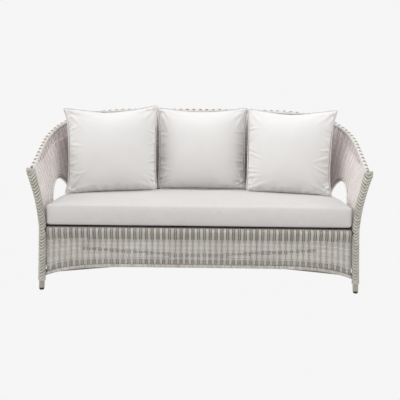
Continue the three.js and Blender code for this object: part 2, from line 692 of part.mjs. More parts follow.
// The seat cushion fills the tub; its top is crowned and its sides draw in between the seams.
const seatCushionBottom = deckTop + cushionLift;
function seatCushion() {
  const inset = braidRadius + seatCushionSideClearance;
  const front = frontY - seatCushionOverhang;
  const walls = insideHoop(inset, seatOutlineSteps).filter((p) => p.y > front + seatCushionFrontRadius);
  const half = halfSeat - inset;
  const corner = [];
  for (const turn of spread(0, Math.PI / 2, cornerSteps)) {
    corner.push(
      new THREE.Vector2(
        half - seatCushionFrontRadius * (1 - Math.cos(turn)),
        front + seatCushionFrontRadius * (1 - Math.sin(turn)),
      ),
    );
  }
  const outline = [...walls, ...corner, ...corner.map((p) => new THREE.Vector2(-p.x, p.y)).reverse()];
  outline.reverse();
  const centre = new THREE.Vector2(0, (front + frontY + seatDepth - inset) / 2);
  const edge = seatCushionThickness;
  // Each ring: how far it lies inside the outline, and its height above the cushion's foot.
  const round = seatCushionRounding;
  const rounding = roundingShares.map(([inside, up]) => [inside * round, up * round]);
  const reachIn = seatCushionCrownReach;
  const crown = crownShares.map(([inside, up]) => [inside * reachIn, edge + up * seatCushionCrown]);
  const profile = [
    [half * cushionCoreShare, 0],
    ...rounding,
    [seatCushionDraw, edge * cushionWaistShare],
    ...rounding.map(([inside, up]) => [inside, edge - up]).reverse(),
    ...crown,
    [half * cushionCoreShare, edge + seatCushionCrown],
  ];
  const reach = outline.map((p) => p.distanceTo(centre));
  const rings = profile.map(([inside, height]) =>
    outline.map((p, i) => {
      const pulled = centre.clone().lerp(p, Math.max(1 - inside / reach[i], cushionFanShare));
      return new THREE.Vector3(pulled.x, pulled.y, seatCushionBottom + height);
    }),
  );
  return lofted(rings);
}
add('seat_cushion', seatCushion(), clothFinish);

// A back cushion is a knife-edged pad: two crowned faces that meet at a piped seam.
function seamPoint(u, v, grow) {
  const pull = (t) => backCushionDraw * (1 - t * t);
  const taper = 1 - (backCushionTaperShare * (1 - v)) / 2;
  const x = u * ((backCushionWidth * taper) / 2 + grow - pull(v));
  const z = v * (backCushionHeight / 2 + grow - pull(u));
  return new THREE.Vector3(x, 0, z);
}
function backCushion() {
  const place = (i) => Math.sin(((i / cushionCells) * 2 - 1) * (Math.PI / 2));
  const face = (depth, side) => (i, j) => {
    const u = place(i);
    const v = place(j);
    const point = seamPoint(u, v, 0);
    const swell = Math.sqrt(Math.max(0, (1 - u * u) * (1 - v * v)));
    point.y = side * (backCushionEdge / 2 + depth * swell ** backCushionCrownPower);
    return point;
  };
  return between(cushionCells, cushionCells, face(backCushionFront, -1), face(backCushionRear, 1));
}
// The piping follows the seam just outside the edge of the cushion.
function piping() {
  const grow = pipingDiameter / 2 + 2 * clear;
  const centres = [];
  const corners = [[-1, -1], [1, -1], [1, 1], [-1, 1]];
  corners.forEach(([u, v], k) => {
    const [nu, nv] = corners[(k + 1) % corners.length];
    for (let i = 0; i < pipingSteps; i++) {
      const t = i / pipingSteps;
      centres.push(seamPoint(u + (nu - u) * t, v + (nv - v) * t, grow));
    }
  });
  const rings = centres.map((centre, i) => {
    const next = centres[(i + 1) % centres.length];
    const last = centres[(i + centres.length - 1) % centres.length];
    const along = next.clone().sub(last).normalize();
    const across = new THREE.Vector3(0, 1, 0);
    const out = along.clone().cross(across).normalize();
    return Array.from({ length: pipingSides }, (_, j) => {
      const angle = (j / pipingSides) * Math.PI * 2;
      const ring = centre.clone().addScaledVector(across, (Math.cos(angle) * pipingDiameter) / 2);
      return ring.addScaledVector(out, (Math.sin(angle) * pipingDiameter) / 2);
    });
  });
  const vertices = rings.flat().flatMap((p) => p.toArray());
  const faces = [];
  for (let r = 0; r < rings.length; r++) {
    const after = (r + 1) % rings.length;
    for (let i = 0; i < pipingSides; i++) {
      const next = (i + 1) % pipingSides;
      const [a, b] = [r * pipingSides + i, after * pipingSides + i];
      const [c, d] = [after * pipingSides + next, r * pipingSides + next];
      faces.push(a, c, b, a, d, c);
    }
  }
  const geometry = new THREE.BufferGeometry();
  geometry.setAttribute('position', new THREE.Float32BufferAttribute(vertices, 3));
  geometry.setIndex(faces);
  geometry.computeVertexNormals();
  return geometry;
}
const backCushionShape = backCushion();
const pipingShape = piping();
const restHeight = (share) =>
  seatCushionBottom + seatCushionThickness + seatCushionCrown * share + cushionLift;
const seatWallY = frontY + seatDepth;
const tilt = THREE.MathUtils.degToRad(backCushionTilt);
const turn = THREE.MathUtils.degToRad(backCushionTurn);
const headHalf = backCushionWidth / 2 + pipingDiameter + 2 * clear;
const headBack = Math.sin(tilt) * (backCushionHeight + pipingDiameter);
const outerCushionX = headHalf * (1 + Math.cos(turn)) + backCushionSpace - headBack * Math.sin(turn);
const places = {
  left: { x: -outerCushionX, y: seatWallY - outerCushionSetback, facing: turn, rest: outerRestShare },
  middle: { x: 0, y: seatWallY - backCushionSetback, facing: 0, rest: middleRestShare },
  right: { x: outerCushionX, y: seatWallY - outerCushionSetback, facing: -turn, rest: outerRestShare },
};
for (const [side, { x, y, facing, rest }] of Object.entries(places)) {
  const stand = pipingDiameter + 2 * clear + backCushionHeight / 2;
  const settle = (geometry) =>
    geometry
      .clone()
      .translate(0, 0, stand)
      .rotateX(-tilt)
      .rotateZ(facing)
      .translate(x, y, restHeight(rest));
  add(`back_cushion_${side}`, settle(backCushionShape), clothFinish);
  add(`back_cushion_piping_${side}`, settle(pipingShape), clothFinish);
}

export default sofa;
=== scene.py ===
import math
import bpy
import numpy as np
from mathutils import Matrix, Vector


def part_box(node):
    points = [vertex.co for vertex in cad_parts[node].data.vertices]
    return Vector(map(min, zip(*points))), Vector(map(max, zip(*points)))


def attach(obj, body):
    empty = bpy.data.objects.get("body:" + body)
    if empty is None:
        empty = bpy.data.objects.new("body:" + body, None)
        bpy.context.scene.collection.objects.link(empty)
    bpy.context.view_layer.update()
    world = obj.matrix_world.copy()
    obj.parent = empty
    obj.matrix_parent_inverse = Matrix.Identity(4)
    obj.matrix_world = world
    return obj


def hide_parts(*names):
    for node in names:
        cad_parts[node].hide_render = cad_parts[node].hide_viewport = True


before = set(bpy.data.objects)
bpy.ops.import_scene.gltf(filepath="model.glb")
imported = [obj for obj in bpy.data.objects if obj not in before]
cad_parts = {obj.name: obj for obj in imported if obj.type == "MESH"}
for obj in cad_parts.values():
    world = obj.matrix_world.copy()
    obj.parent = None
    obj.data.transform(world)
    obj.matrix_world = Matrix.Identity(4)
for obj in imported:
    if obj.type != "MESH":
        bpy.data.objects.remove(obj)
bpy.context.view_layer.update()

print('frame loaded:', len(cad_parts), 'nodes')
bpy.ops.object.select_all(action='DESELECT')


def sideName(side):
    return 'left' if side < 0 else 'right'


def activate(piece):
    bpy.ops.object.select_all(action='DESELECT')
    bpy.context.view_layer.objects.active = piece
    piece.select_set(True)


def pointsOf(piece):
    points = np.empty(len(piece.data.vertices) * 3)
    piece.data.vertices.foreach_get('co', points)
    return points.reshape(-1, 3)


def setPoints(piece, points):
    piece.data.vertices.foreach_set('co', points.reshape(-1))
    piece.data.update()


def clamp(value):
    return np.clip(value, 0, 1)


def smoothStep(value):
    return clamp(value) ** 2 * (3 - 2 * clamp(value))


def unit(vectors):
    return vectors / np.maximum(np.linalg.norm(vectors, axis=-1, keepdims=True), 1e-9)


def xyz(x, y, z):
    return np.stack(np.broadcast_arrays(x, y, z), -1)


def lengthAlong(points):
    return np.concatenate([[0], np.cumsum(np.linalg.norm(np.diff(points, axis=0), axis=1))])


def fromTip(share):
    # how far along the hoop from the nearer arm tip
    return np.minimum(share, 1 - share)


def linked(name, data):
    piece = bpy.data.objects.new(name, data)
    bpy.context.scene.collection.objects.link(piece)
    return piece


def smoothFaces(piece):
    piece.data.polygons.foreach_set('use_smooth', [True] * len(piece.data.polygons))


def modify(piece, kind, **settings):
    activate(piece)
    modifier = piece.modifiers.new('change', kind)
    for name, value in settings.items():
        setattr(modifier, name, value)
    bpy.ops.object.modifier_apply(modifier=modifier.name)


def paint(piece, material):
    piece.data.materials.clear()
    piece.data.materials.append(material)


def dress(piece, body, material):
    paint(piece, material)
    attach(piece, body)


# The tub that everything is woven on, in metres. It repeats the frame's own curves.
tub = {
    'halfSeat': 0.808,
    'seatDepth': 0.678,
    'armFlare': 0.054,
    'backRake': 0.122,
    'railHeight': 0.320,
    'armHeight': 0.618,
    'backHeight': 0.922,
    'legSplay': 0.012,
    'straightShare': 0.37,
    'seatSquareness': 8,
    'rimSquareness': 5,
    'flarePower': 1.7,
    'wallFlarePower': 2.1,
    'flareBlend': 0.09,
    'rimCrownShare': 0.18,
    'rearLeg': 0.222,
    'archStart': 0.088,
    'archEnd': 0.207,
    'archRise': 0.225,
    'frontApronCrown': 0.134,
    'sideApronCrown': 0.128,
    'apronFoot': 0.076,
    'apronPower': 6.4,
}
halfSeat, railHeight, rearLeg = tub['halfSeat'], tub['railHeight'], tub['rearLeg']
fan = {'from': 0.42, 'power': 1.3, 'reach': 0.036, 'end': 0.216}    # how the ribs of an arm lean
railWrap = {'radius': 0.0160, 'start': 0.262, 'turn': 1.75}         # how the skirt goes over the rail
legLow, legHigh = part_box('seat_rail_front')
frontY = (legLow[1] + legHigh[1]) / 2   # the plane of the front legs


def hoopLine(halfWidth, depth, squareness, samples=240):
    # straight arms that turn into the back, followed evenly from left arm tip to right
    cornerY = frontY + depth * tub['straightShare']
    sweep = frontY + depth - cornerY
    angle = math.pi * (1 - np.arange(samples + 1) / samples)
    side = np.sign(np.arange(samples + 1) - samples / 2)
    x = side * np.abs(np.cos(angle)) ** (2 / squareness) * halfWidth
    y = cornerY + np.sin(angle) * sweep
    x = np.concatenate([[-halfWidth], x, [halfWidth]])
    y = np.concatenate([[frontY], y, [frontY]])
    steps = np.hypot(np.diff(x), np.diff(y))
    along = np.concatenate([[0], np.cumsum(steps)]) / steps.sum()
    return along, x, y


seatLine = hoopLine(halfSeat, tub['seatDepth'], tub['seatSquareness'])
rimLine = hoopLine(halfSeat + tub['armFlare'], tub['seatDepth'] + tub['backRake'],
                   tub['rimSquareness'])


def onLine(line, share):
    along, x, y = line
    return np.interp(share, along, x), np.interp(share, along, y)


def rimPoints(share):
    x, y = onLine(rimLine, share)
    back = (y - frontY) / (tub['seatDepth'] + tub['backRake'])
    rise = back * (1 + tub['rimCrownShare'] - tub['rimCrownShare'] * back)
    z = tub['armHeight'] + (tub['backHeight'] - tub['armHeight']) * rise
    return xyz(x, y, z)


def leanPower(share):
    # a wall rolls out under the rim, more so away from the front legs
    blend = smoothStep(fromTip(share) / tub['flareBlend'])
    return tub['flarePower'] + (tub['wallFlarePower'] - tub['flarePower']) * blend


def wallPoints(share, up):
    footX, footY = onLine(seatLine, share)
    top = rimPoints(share)
    lean = np.clip(up, 0, None) ** leanPower(share)
    x = footX + (top[..., 0] - footX) * lean
    y = footY + (top[..., 1] - footY) * lean
    return xyz(x, y, railHeight + (top[..., 2] - railHeight) * up)


def fannedPoints(share, up):
    # the ribs of an arm lean towards its tip as they near the rim
    climb = clamp((up - fan['from']) / (1 - fan['from'])) ** fan['power']
    shift = fan['reach'] * climb * np.sin(math.pi * clamp(fromTip(share) / fan['end']))
    return wallPoints(np.where(share > 0.5, share + shift, share - shift), up)


def outward(share, step=0.004):
    ax, ay = onLine(seatLine, clamp(share - step))
    bx, by = onLine(seatLine, clamp(share + step))
    return unit(np.stack([ay - by, bx - ax], -1))


def roundRail(z):
    # the skirt swings out over the seat rail: how far out, and how high, for each length up the skirt
    reach = railWrap['radius']
    level = clamp((z - railWrap['start']) / (railHeight - railWrap['start']))
    out = reach * level * level * (3 - 2 * level)
    turn = np.clip((z - railHeight) / reach, 0, railWrap['turn'])
    out = np.where(z > railHeight, reach * np.cos(turn), out)
    return out, np.where(z > railHeight, railHeight + reach * np.sin(turn), z)


def skirtPoints(share, z):
    x, y = onLine(seatLine, share)
    out, height = roundRail(z)
    away = outward(share) * (tub['legSplay'] * (1 - height / railHeight) + out)[..., None]
    return xyz(x + away[..., 0], y + away[..., 1], height)


def apronEdge(across, crown):
    return crown - (crown - tub['apronFoot']) * np.abs(across) ** tub['apronPower']


def facing(surface, a, b, step=0.002):
    # the unit normal of a surface of two values, pointing outwards from the tub
    da = surface(a + step, b) - surface(a - step, b)
    db = surface(a, b + step) - surface(a, b - step)
    return unit(np.cross(db, da))


# Flat strands, each a line of points with the side that it shows, made into one mesh.
def strandMesh(name, strands, sides=4):
    verts, faces, tones, uvs = [], [], [], []
    base = 0
    cols = np.arange(sides)
    right = (cols + 1) % sides
    a, b = np.cos(cols / sides * 2 * math.pi) * 0.5, np.sin(cols / sides * 2 * math.pi) * 0.5
    for strand in strands:
        points, closed = strand['points'], strand.get('closed', False)
        count = len(points)
        if count < 2:
            continue
        width, thick, tone, shade = (
            np.broadcast_to(np.asarray(value, float), (count,))[:, None]
            for value in (strand['width'], strand['thick'], strand['tone'], strand.get('shade', 0.0)))
        along = unit(np.roll(points, -1, 0) - np.roll(points, 1, 0) if closed
                     else np.gradient(points, axis=0))
        across = unit(np.cross(along, strand['out']))
        out = np.cross(across, along)
        ring = (points[:, None] + across[:, None] * a[None, :, None] * width[..., None]
                + out[:, None] * b[None, :, None] * thick[..., None])
        verts.append(ring.reshape(-1, 3))
        # painted shade: a strand's shade darkens its tone, most on the side that it shows and not at all on
        # the other
        tones.append((tone * (1 - shade * (0.5 + b[None]))).reshape(-1))
        rows = np.arange(count if closed else count - 1)
        near, far = rows[:, None] * sides, (rows[:, None] + 1) % count * sides
        quad = np.stack([near + cols, near + right, far + right, far + cols], -1)
        faces.append(quad.reshape(-1, 4) + base)
        # along the strand in metres, and once round it
        length = lengthAlong(points)
        u = np.repeat((length[rows][:, None] + np.array([0, 0, 1, 1]) * length[1])[:, None], sides, 1)
        v = np.stack([cols, cols + 1, cols + 1, cols], -1)[None] / sides
        places = np.stack([u, np.broadcast_to(v, u.shape)], -1).reshape(-1, 2)
        uvs.append(places + [strand.get('seed', 0.0), 0])
        if not closed:
            for end in (cols[::-1], cols + (count - 1) * sides):
                faces.append(end[None] + base)
                uvs.append(np.zeros((sides, 2)))
        base += count * sides
    flat = np.concatenate([f.reshape(-1) for f in faces])
    sizes = np.concatenate([np.full(len(f), f.shape[1]) for f in faces])
    mesh = bpy.data.meshes.new(name)
    allVerts = np.concatenate(verts)
    mesh.vertices.add(len(allVerts))
    mesh.vertices.foreach_set('co', allVerts.reshape(-1))
    mesh.loops.add(len(flat))
    mesh.loops.foreach_set('vertex_index', flat)
    mesh.polygons.add(len(sizes))
    mesh.polygons.foreach_set('loop_start', np.concatenate([[0], np.cumsum(sizes)[:-1]]))
    mesh.update(calc_edges=True)
    layer = mesh.uv_layers.new(name='strand')
    layer.data.foreach_set('uv', np.concatenate(uvs).reshape(-1))
    shade = mesh.attributes.new('tone', 'FLOAT', 'POINT')
    shade.data.foreach_set('value', np.concatenate(tones))
    piece = linked(name, mesh)
    smoothFaces(piece)
    mesh.validate()
    return piece


streakSpan = 9      # strands start at random places on their streaks, up to this far apart


def lineRuns(keep):
    # first and last index of each unbroken stretch of a mask
    edges = np.flatnonzero(np.diff(np.concatenate([[0], keep.astype(int), [0]])))
    return list(zip(edges[0::2], edges[1::2]))


def softMask(mask):
    # the strands bend into a slot over one step before it
    wide = np.convolve(mask.astype(float), [0.25, 0.5, 0.25], mode='same')
    wide[0], wide[-1] = mask[0], mask[-1]
    return wide


def woven(surface, start, end, low, high, weave, slots, seed, hole=None):
    # stakes and weavers between two ends of a wall; low and high bound the weave at each share
    chance = np.random.default_rng(seed)
    strands = []
    first = math.ceil(start * weave['stakes'] - 0.5)
    last = math.floor(end * weave['stakes'] - 0.5)
    depth = weave['swing']
    show = weave['show']      # 1 where the good side is the outer one, -1 where it is the inner one

    def place(share, up, shift):
        normal = facing(surface, share, up)
        return surface(share, up) + normal * np.asarray(shift)[..., None], normal * show

    # main stakes in pairs, proud of the weavers in the slotted bands and behind them elsewhere
    for i in range(first * 2, last * 2 + 2):
        share = (i / 2 + 0.5) / weave['stakes']
        if not start < share < end:
            continue
        main = i % 2 == 0
        bottom, top = low(share), high(share)
        if hole is not None:
            bottom = max(bottom, hole(share))
        up = np.linspace(bottom, top, weave['stakeSteps'])
        offsets = weave['pair'] if main else (0.0,)
        for offset in offsets:
            at = np.full_like(up, share + offset / weave['length'])
            inSlot = softMask(slots(at, up))
            shift = show * (inSlot * weave['proud']
                            + (1 - inSlot) * (-depth if main else depth * weave['thinLiftShare']))
            points, normal = place(at, up, shift)
            tone = weave['stakeTone'] if main else weave['thinTone']
            # stakes take the wall's painted shade as the weavers do
            strands.append({'points': points, 'out': normal, 'thick': weave['stakeThick'],
                            'shade': weave['shade'](at, up),
                            'width': weave['stakeWidth'] if main else weave['thinWidth'],
                            'tone': tone + chance.normal(0, weave['stakeSpread']),
                            'seed': chance.random() * streakSpan})

    # weavers
    samples = max(2, int(round((end - start) * weave['stakes'] * weave['perStake'])))
    share = np.linspace(start, end, samples + 1)
    bottom, top = low(share), high(share)
    for k in range(weave['rows']):
        up = bottom + (top - bottom) * (k + 0.5) / weave['rows']
        inSlot = softMask(slots(share, up))
        ribs = np.cos(2 * math.pi * (share * weave['stakes'] - 0.5))
        weaveShift = depth * (ribs + weave['lift'])
        shift = show * ((1 - inSlot) * weaveShift - inSlot * weave['proud'])
        points, normal = place(share, up, shift)
        above, _ = place(share, bottom + (top - bottom) * (k + 1.5) / weave['rows'], shift)
        pitch = np.linalg.norm(above - points, axis=1)
        rowTone = weave['tone'] + chance.normal(0, weave['rowSpread'])
        # painted shade: weavers set back in the slots take the darker slot tone
        tone = rowTone * (1 - inSlot) + weave['slotShadeTone'] * inSlot
        # painted shade: a weaver is darker where it dips behind the stakes
        tone = tone + weave['ribShade'](share) * ribs * (1 - inSlot)
        # painted light: weavers are made paler towards the arm tips
        tone = tone + chance.normal(0, weave['fleck'], len(share)) + weave['paintedLight'](share, inSlot)
        # painted shade on the weavers, from the weave's shade
        paintedShade = np.broadcast_to(weave['shade'](share, up), share.shape)
        keep = np.ones(len(share), bool) if hole is None else up >= hole(share)
        for a, b in lineRuns(keep):
            if b - a < 2:
                continue
            strands.append({'points': points[a:b], 'out': normal[a:b], 'tone': tone[a:b],
                            'shade': paintedShade[a:b], 'width': pitch[a:b] * weave['fill'],
                            'thick': weave['thick'], 'seed': chance.random() * streakSpan})
    return strands


# Tones over the wall, painted shade and painted light among them. From and reach are shares of the hoop,
# counted from the nearer arm tip.
wallTones = {
    'shadeFrom': 0.150, 'shadeReach': 0.08, 'shadeTop': 0.93, 'shadeFade': 0.10, 'shadeMost': 0.95,
    'paleFrom': 0.175, 'paleReach': 0.09, 'paleMost': 0.26,
    'slotPaleFrom': 0.27, 'slotPaleReach': 0.10, 'slotPaleMost': 0.38,
    'ribFrom': 0.05, 'ribReach': 0.07, 'ribLeast': 0.05, 'ribMore': 0.15,
}


def pastTip(share, part, sign=1):
    return clamp(sign * (fromTip(share) - wallTones[part + 'From']) / wallTones[part + 'Reach'])


def wallPaintedShade(share, up):
    # painted shade: the inner side of the back is darkened where the cushions stand before it, fading to none
    # near the rim
    w = wallTones
    near = pastTip(share, 'shade')
    return w['shadeMost'] * smoothStep(near) * clamp((w['shadeTop'] - up) / w['shadeFade'])


def wallPaintedLight(share, inSlot):
    # painted light: the arms are paler towards their tips, where more light falls, their slotted band most of
    # all
    plain = wallTones['paleMost'] * pastTip(share, 'pale', -1)
    return plain * (1 - inSlot) + wallTones['slotPaleMost'] * pastTip(share, 'slotPale', -1) * inSlot


def wallRibShade(share):
    # painted shade: weavers darken where they dip behind the stakes, the more so away from the arm tips
    return wallTones['ribLeast'] + wallTones['ribMore'] * pastTip(share, 'rib')


# Arms and back: ribs that fan out to the rim, with a slotted band under it.
wallWeave = {
    'stakes': 76, 'length': 2.75, 'pair': (-0.0038, 0.0038), 'perStake': 5, 'rows': 66,
    'stakeSteps': 16, 'stakeWidth': 0.0076, 'stakeThick': 0.0034, 'thinWidth': 0.0044,
    'swing': 0.0015, 'lift': 0.25, 'thinLiftShare': 0.7, 'proud': 0.0022, 'fill': 0.97,
    'thick': 0.0026, 'show': -1,
    # the slot tone is painted shade on the set-back weavers of the slots
    'tone': 0.66, 'slotShadeTone': 0.22, 'stakeTone': 1.0, 'thinTone': 0.9,
    'stakeSpread': 0.05, 'rowSpread': 0.06, 'fleck': 0.02,
    'shade': wallPaintedShade, 'paintedLight': wallPaintedLight, 'ribShade': wallRibShade,
}
wallEdge = {
    'rimBand': 0.062,       # height of the slotted band under the rim
    'rimRoll': 0.006,       # plain weave between the rim and that band
    'slotStart': 0.070,     # share of the hoop from an arm tip to the first slot
    'slotGrow': 0.05,       # and over which the band grows to its height
    'railCover': 0.0126,    # the weave starts this far over the middle of the seat rail
    'rimCover': 0.00825,    # and ends this far under the middle of the rim
    'legGap': 0.006,        # share of the hoop left free beside a leg
}


def wallHeight(share):
    return rimPoints(share)[..., 2] - railHeight


def wallLow(share):
    return wallEdge['railCover'] / wallHeight(share)


def wallHigh(share):
    return 1 - wallEdge['rimCover'] / wallHeight(share)


def wallSlots(share, up):
    # the band starts behind the arm tips and grows to its height
    fromRim = (1 - up) * wallHeight(share)
    grown = clamp((fromTip(share) - wallEdge['slotStart']) / wallEdge['slotGrow']) ** 0.5
    return (fromRim > wallEdge['rimRoll']) & (fromRim < wallEdge['rimRoll'] + wallEdge['rimBand'] * grown)


# The arched opening's edge is cut a little outside its line and covered by rolls, light and dark in turn; the
# thin dark rolls between and beside the light ones are painted shade in the grooves.
archMiddle = (tub['archStart'] + tub['archEnd']) / 2
archHalf = (tub['archEnd'] - tub['archStart']) / 2
archRolls = {
    'cut': 0.004, 'width': 0.0064, 'foot': 0.02,
    'lines': ((-0.002, 0.009, 1.0), (0.004, 0.006, 0.1), (0.0085, 0.012, 1.0), (0.014, 0.006, 0.15)),
}


def archUp(share, grow=0.0):
    # height of the arched opening's edge, as a share of the wall, or -1 clear of it
    share = np.where(np.asarray(share) > 0.5, 1 - np.asarray(share), share)
    reach = archHalf + grow / wallWeave['length']
    off = np.clip((share - archMiddle) / reach, -1, 1)
    rise = (tub['archRise'] + grow) * np.sqrt(1 - off ** 2)
    return np.where(np.abs(off) < 1, rise / wallHeight(share), -1.0)


def archLine(side, grow, samples=48):
    turn = np.linspace(0, math.pi, samples)
    share = archMiddle - (archHalf + grow / wallWeave['length']) * np.cos(turn)
    up = (tub['archRise'] + grow) * np.sin(turn) / wallHeight(share)
    share = share if side < 0 else 1 - share
    return share, np.maximum(up, archRolls['foot'])


def armWeave(side):
    start, end = wallEdge['legGap'], rearLeg - wallEdge['legGap']
    if side > 0:
        start, end = 1 - end, 1 - start
    strands = woven(fannedPoints, start, end, wallLow, wallHigh, wallWeave, wallSlots,
                    11 if side < 0 else 12, hole=lambda share: archUp(share, archRolls['cut']))
    for grow, thick, tone in archRolls['lines']:
        share, up = archLine(side, grow)
        strands.append({'points': wallPoints(share, up), 'out': -facing(wallPoints, share, up),
                        'width': archRolls['width'], 'thick': thick, 'tone': tone})
    piece = strandMesh(f'armWeave{sideName(side).title()}', strands)
    dress(piece, 'frame', finishes['wall'])
    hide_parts(f'arm_weave_{sideName(side)}')


def backWeave():
    start = rearLeg + wallEdge['legGap']
    strands = woven(fannedPoints, start, 1 - start, wallLow, wallHigh, wallWeave, wallSlots, 13)
    piece = strandMesh('backWeave', strands)
    dress(piece, 'frame', finishes['wall'])
    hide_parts('back_weave_left', 'back_weave_middle', 'back_weave_right')


# Aprons: the same ribs seen from outside, slotted at top and bottom.
apronWeave = dict(
    wallWeave, show=1, pair=(-0.0031, 0.0031), rows=34, stakeSteps=14, swing=0.0016, tone=0.56,
    # the slot tone is painted shade on the set-back weavers of the slots
    slotShadeTone=0.24, stakeTone=0.58, thinTone=0.34, stakeWidth=0.0058, thinWidth=0.0034,
    shade=lambda share, up: 0.0, paintedLight=lambda share, inSlot: 0.0, ribShade=lambda share: 0.08)
apron = {
    'top': 0.3475,              # length up the skirt, over the top of the seat rail
    'band': 0.073,              # height of the slotted band under the seat
    'hem': 0.006,               # plain weave over the lower rail
    'hemBand': 0.036,           # top of the slotted band over it
    'railCover': 0.004,         # the weave starts this far over the middle of the lower rail
    'rowFoot': 0.187, 'rowRise': 0.062, 'rowHalf': 0.0075, 'rowReach': 0.60,    # sinks to the middle
    'middleFrom': 0.048, 'middleTo': 0.066, 'middleReach': 0.155,               # over the hem's middle
    'frontGap': 0.0145, 'roundGap': 0.009,      # shares left free at the ends
}


def frontSurface(t, z):
    out, height = roundRail(z)
    half = halfSeat + tub['legSplay'] * (1 - height / railHeight)
    return xyz((2 * t - 1) * half, frontY - out, height)


def frontEdge(t):
    return apronEdge(2 * t - 1, tub['frontApronCrown'])


def hemSlots(z, edge):
    slot = (z > apron['top'] - apron['band']) & (z < apron['top'])
    return slot | ((z - edge > apron['hem']) & (z - edge < apron['hemBand']))


def frontSlots(t, z):
    x = np.abs(2 * t - 1) * halfSeat
    rise = z - frontEdge(t)
    row = np.abs(z - (apron['rowFoot'] + apron['rowRise'] * x)) < apron['rowHalf']
    middle = (rise > apron['middleFrom']) & (rise < apron['middleTo']) & (x < apron['middleReach'])
    # the curved row and the middle patch are slots too, so they take the slot tone's painted shade
    return hemSlots(z, frontEdge(t)) | (row & (x < apron['rowReach'])) | middle


def apronPanel(name, node, surface, start, end, edge, slots, weave, seed):
    strands = woven(surface, start, end, lambda s: edge(s) + apron['railCover'],
                    lambda s: np.full_like(np.asarray(s, float), apron['top']), weave, slots, seed)
    piece = strandMesh(name, strands)
    dress(piece, 'frame', finishes['apron'])
    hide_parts(node)


def apronRound(name, node, start, end, seed):
    def edge(share):
        return apronEdge(2 * (share - start) / (end - start) - 1, tub['sideApronCrown'])
    apronPanel(name, node, skirtPoints, start + apron['roundGap'], end - apron['roundGap'], edge,
               lambda share, z: hemSlots(z, edge(share)), dict(apronWeave, stakes=86, length=2.71), seed)


def aprons():
    # the front one is made on a plane that faces the other way, so its good side is -1
    apronPanel('apronFront', 'apron_weave_front', frontSurface, apron['frontGap'], 1 - apron['frontGap'],
               frontEdge, frontSlots, dict(apronWeave, stakes=54, length=1.62, show=-1), 21)
    apronRound('apronLeft', 'apron_weave_left', 0, rearLeg, 22)
    apronRound('apronRight', 'apron_weave_right', 1 - rearLeg, 1, 23)
    apronRound('apronRear', 'apron_weave_rear', rearLeg, 1 - rearLeg, 24)


# Materials
def addNode(tree, kind, source=None, **inputs):
    # a node with its plain inputs set, fed by a source through its first input or its vector
    node = tree.nodes.new('ShaderNode' + kind)
    for socket, value in inputs.items():
        node.inputs[socket].default_value = value
    if source is not None:
        tree.links.new(source, node.inputs['Vector'] if 'Vector' in node.inputs else node.inputs[0])
    return node


def newMaterial(name, color, roughness, **sockets):
    material = bpy.data.materials.new(name)
    material.use_nodes = True
    shader = material.node_tree.nodes['Principled BSDF']
    shader.inputs['Base Color'].default_value = (*color, 1)
    shader.inputs['Roughness'].default_value = roughness
    for socket, value in sockets.items():
        shader.inputs[socket.replace('_', ' ')].default_value = value
    return material, material.node_tree, shader


def ramp(tree, source, *stops):
    node = addNode(tree, 'ValToRGB', source)
    elements = node.color_ramp.elements
    while len(elements) < len(stops):
        elements.new(0.5)
    for element, (position, color) in zip(elements, stops):
        element.position = position
        element.color = (*color, 1)
    return node.outputs['Color']


def multiply(tree, factor, a, b):
    node = addNode(tree, 'Mix')
    node.data_type = 'RGBA'
    node.blend_type = 'MULTIPLY'
    node.inputs['Factor'].default_value = factor
    for socket, value in (('A', a), ('B', b)):
        tree.links.new(value, [s for s in node.inputs if s.name == socket and s.type == 'RGBA'][0])
    return [s for s in node.outputs if s.type == 'RGBA'][0]


def objectPlace(tree):
    return tree.nodes.new('ShaderNodeTexCoord').outputs['Object']


def objectNoise(tree, scale, detail=3.0):
    noise = addNode(tree, 'TexNoise', objectPlace(tree), Scale=scale, Detail=detail, Roughness=0.55)
    return noise.outputs['Fac']


def finishShader(tree, shader, color, height, strength, distance):
    node = addNode(tree, 'Bump', Strength=strength, Distance=distance)
    tree.links.new(height, node.inputs['Height'])
    tree.links.new(node.outputs['Normal'], shader.inputs['Normal'])
    tree.links.new(color, shader.inputs['Base Color'])


rattanLook = {'roughness': 0.52, 'streakScale': (35, 9, 1), 'streakMix': 0.8, 'wearScale': 9, 'depth': 0.0006}
clothLook = {'roughness': 0.9, 'threads': 260, 'waver': 0.6, 'tintScale': 6, 'depth': 0.0003}
paintLook = {'roughness': 0.42, 'metallic': 0.15, 'tintScale': 14, 'peelScale': 900, 'depth': 0.0004}


def rattanMaterial(name, dark, middle, light):
    # whitewashed synthetic rattan: streaked along each strand, with its own tone for each strand; that tone
    # also carries the painted shade and painted light set on the strands
    look = rattanLook
    material, tree, shader = newMaterial(name, middle, look['roughness'], Specular_IOR_Level=0.35)
    tone = tree.nodes.new('ShaderNodeAttribute')
    tone.attribute_name = 'tone'
    base = ramp(tree, tone.outputs['Fac'], (0.0, dark), (0.55, middle), (1.0, light))
    uv = tree.nodes.new('ShaderNodeUVMap')
    uv.uv_map = 'strand'
    stretch = addNode(tree, 'Mapping', uv.outputs['UV'], Scale=look['streakScale'])
    streak = addNode(tree, 'TexNoise', stretch.outputs['Vector'], Scale=1.0, Detail=4).outputs['Fac']
    streaks = ramp(tree, streak, (0.3, (0.82, 0.80, 0.77)), (0.7, (1.06, 1.06, 1.06)))
    worn = objectNoise(tree, look['wearScale'])
    worn = ramp(tree, worn, (0.35, (0.93, 0.92, 0.90)), (0.7, (1.04, 1.04, 1.04)))
    color = multiply(tree, 1.0, multiply(tree, look['streakMix'], base, streaks), worn)
    finishShader(tree, shader, color, streak, 0.35, look['depth'])
    return material


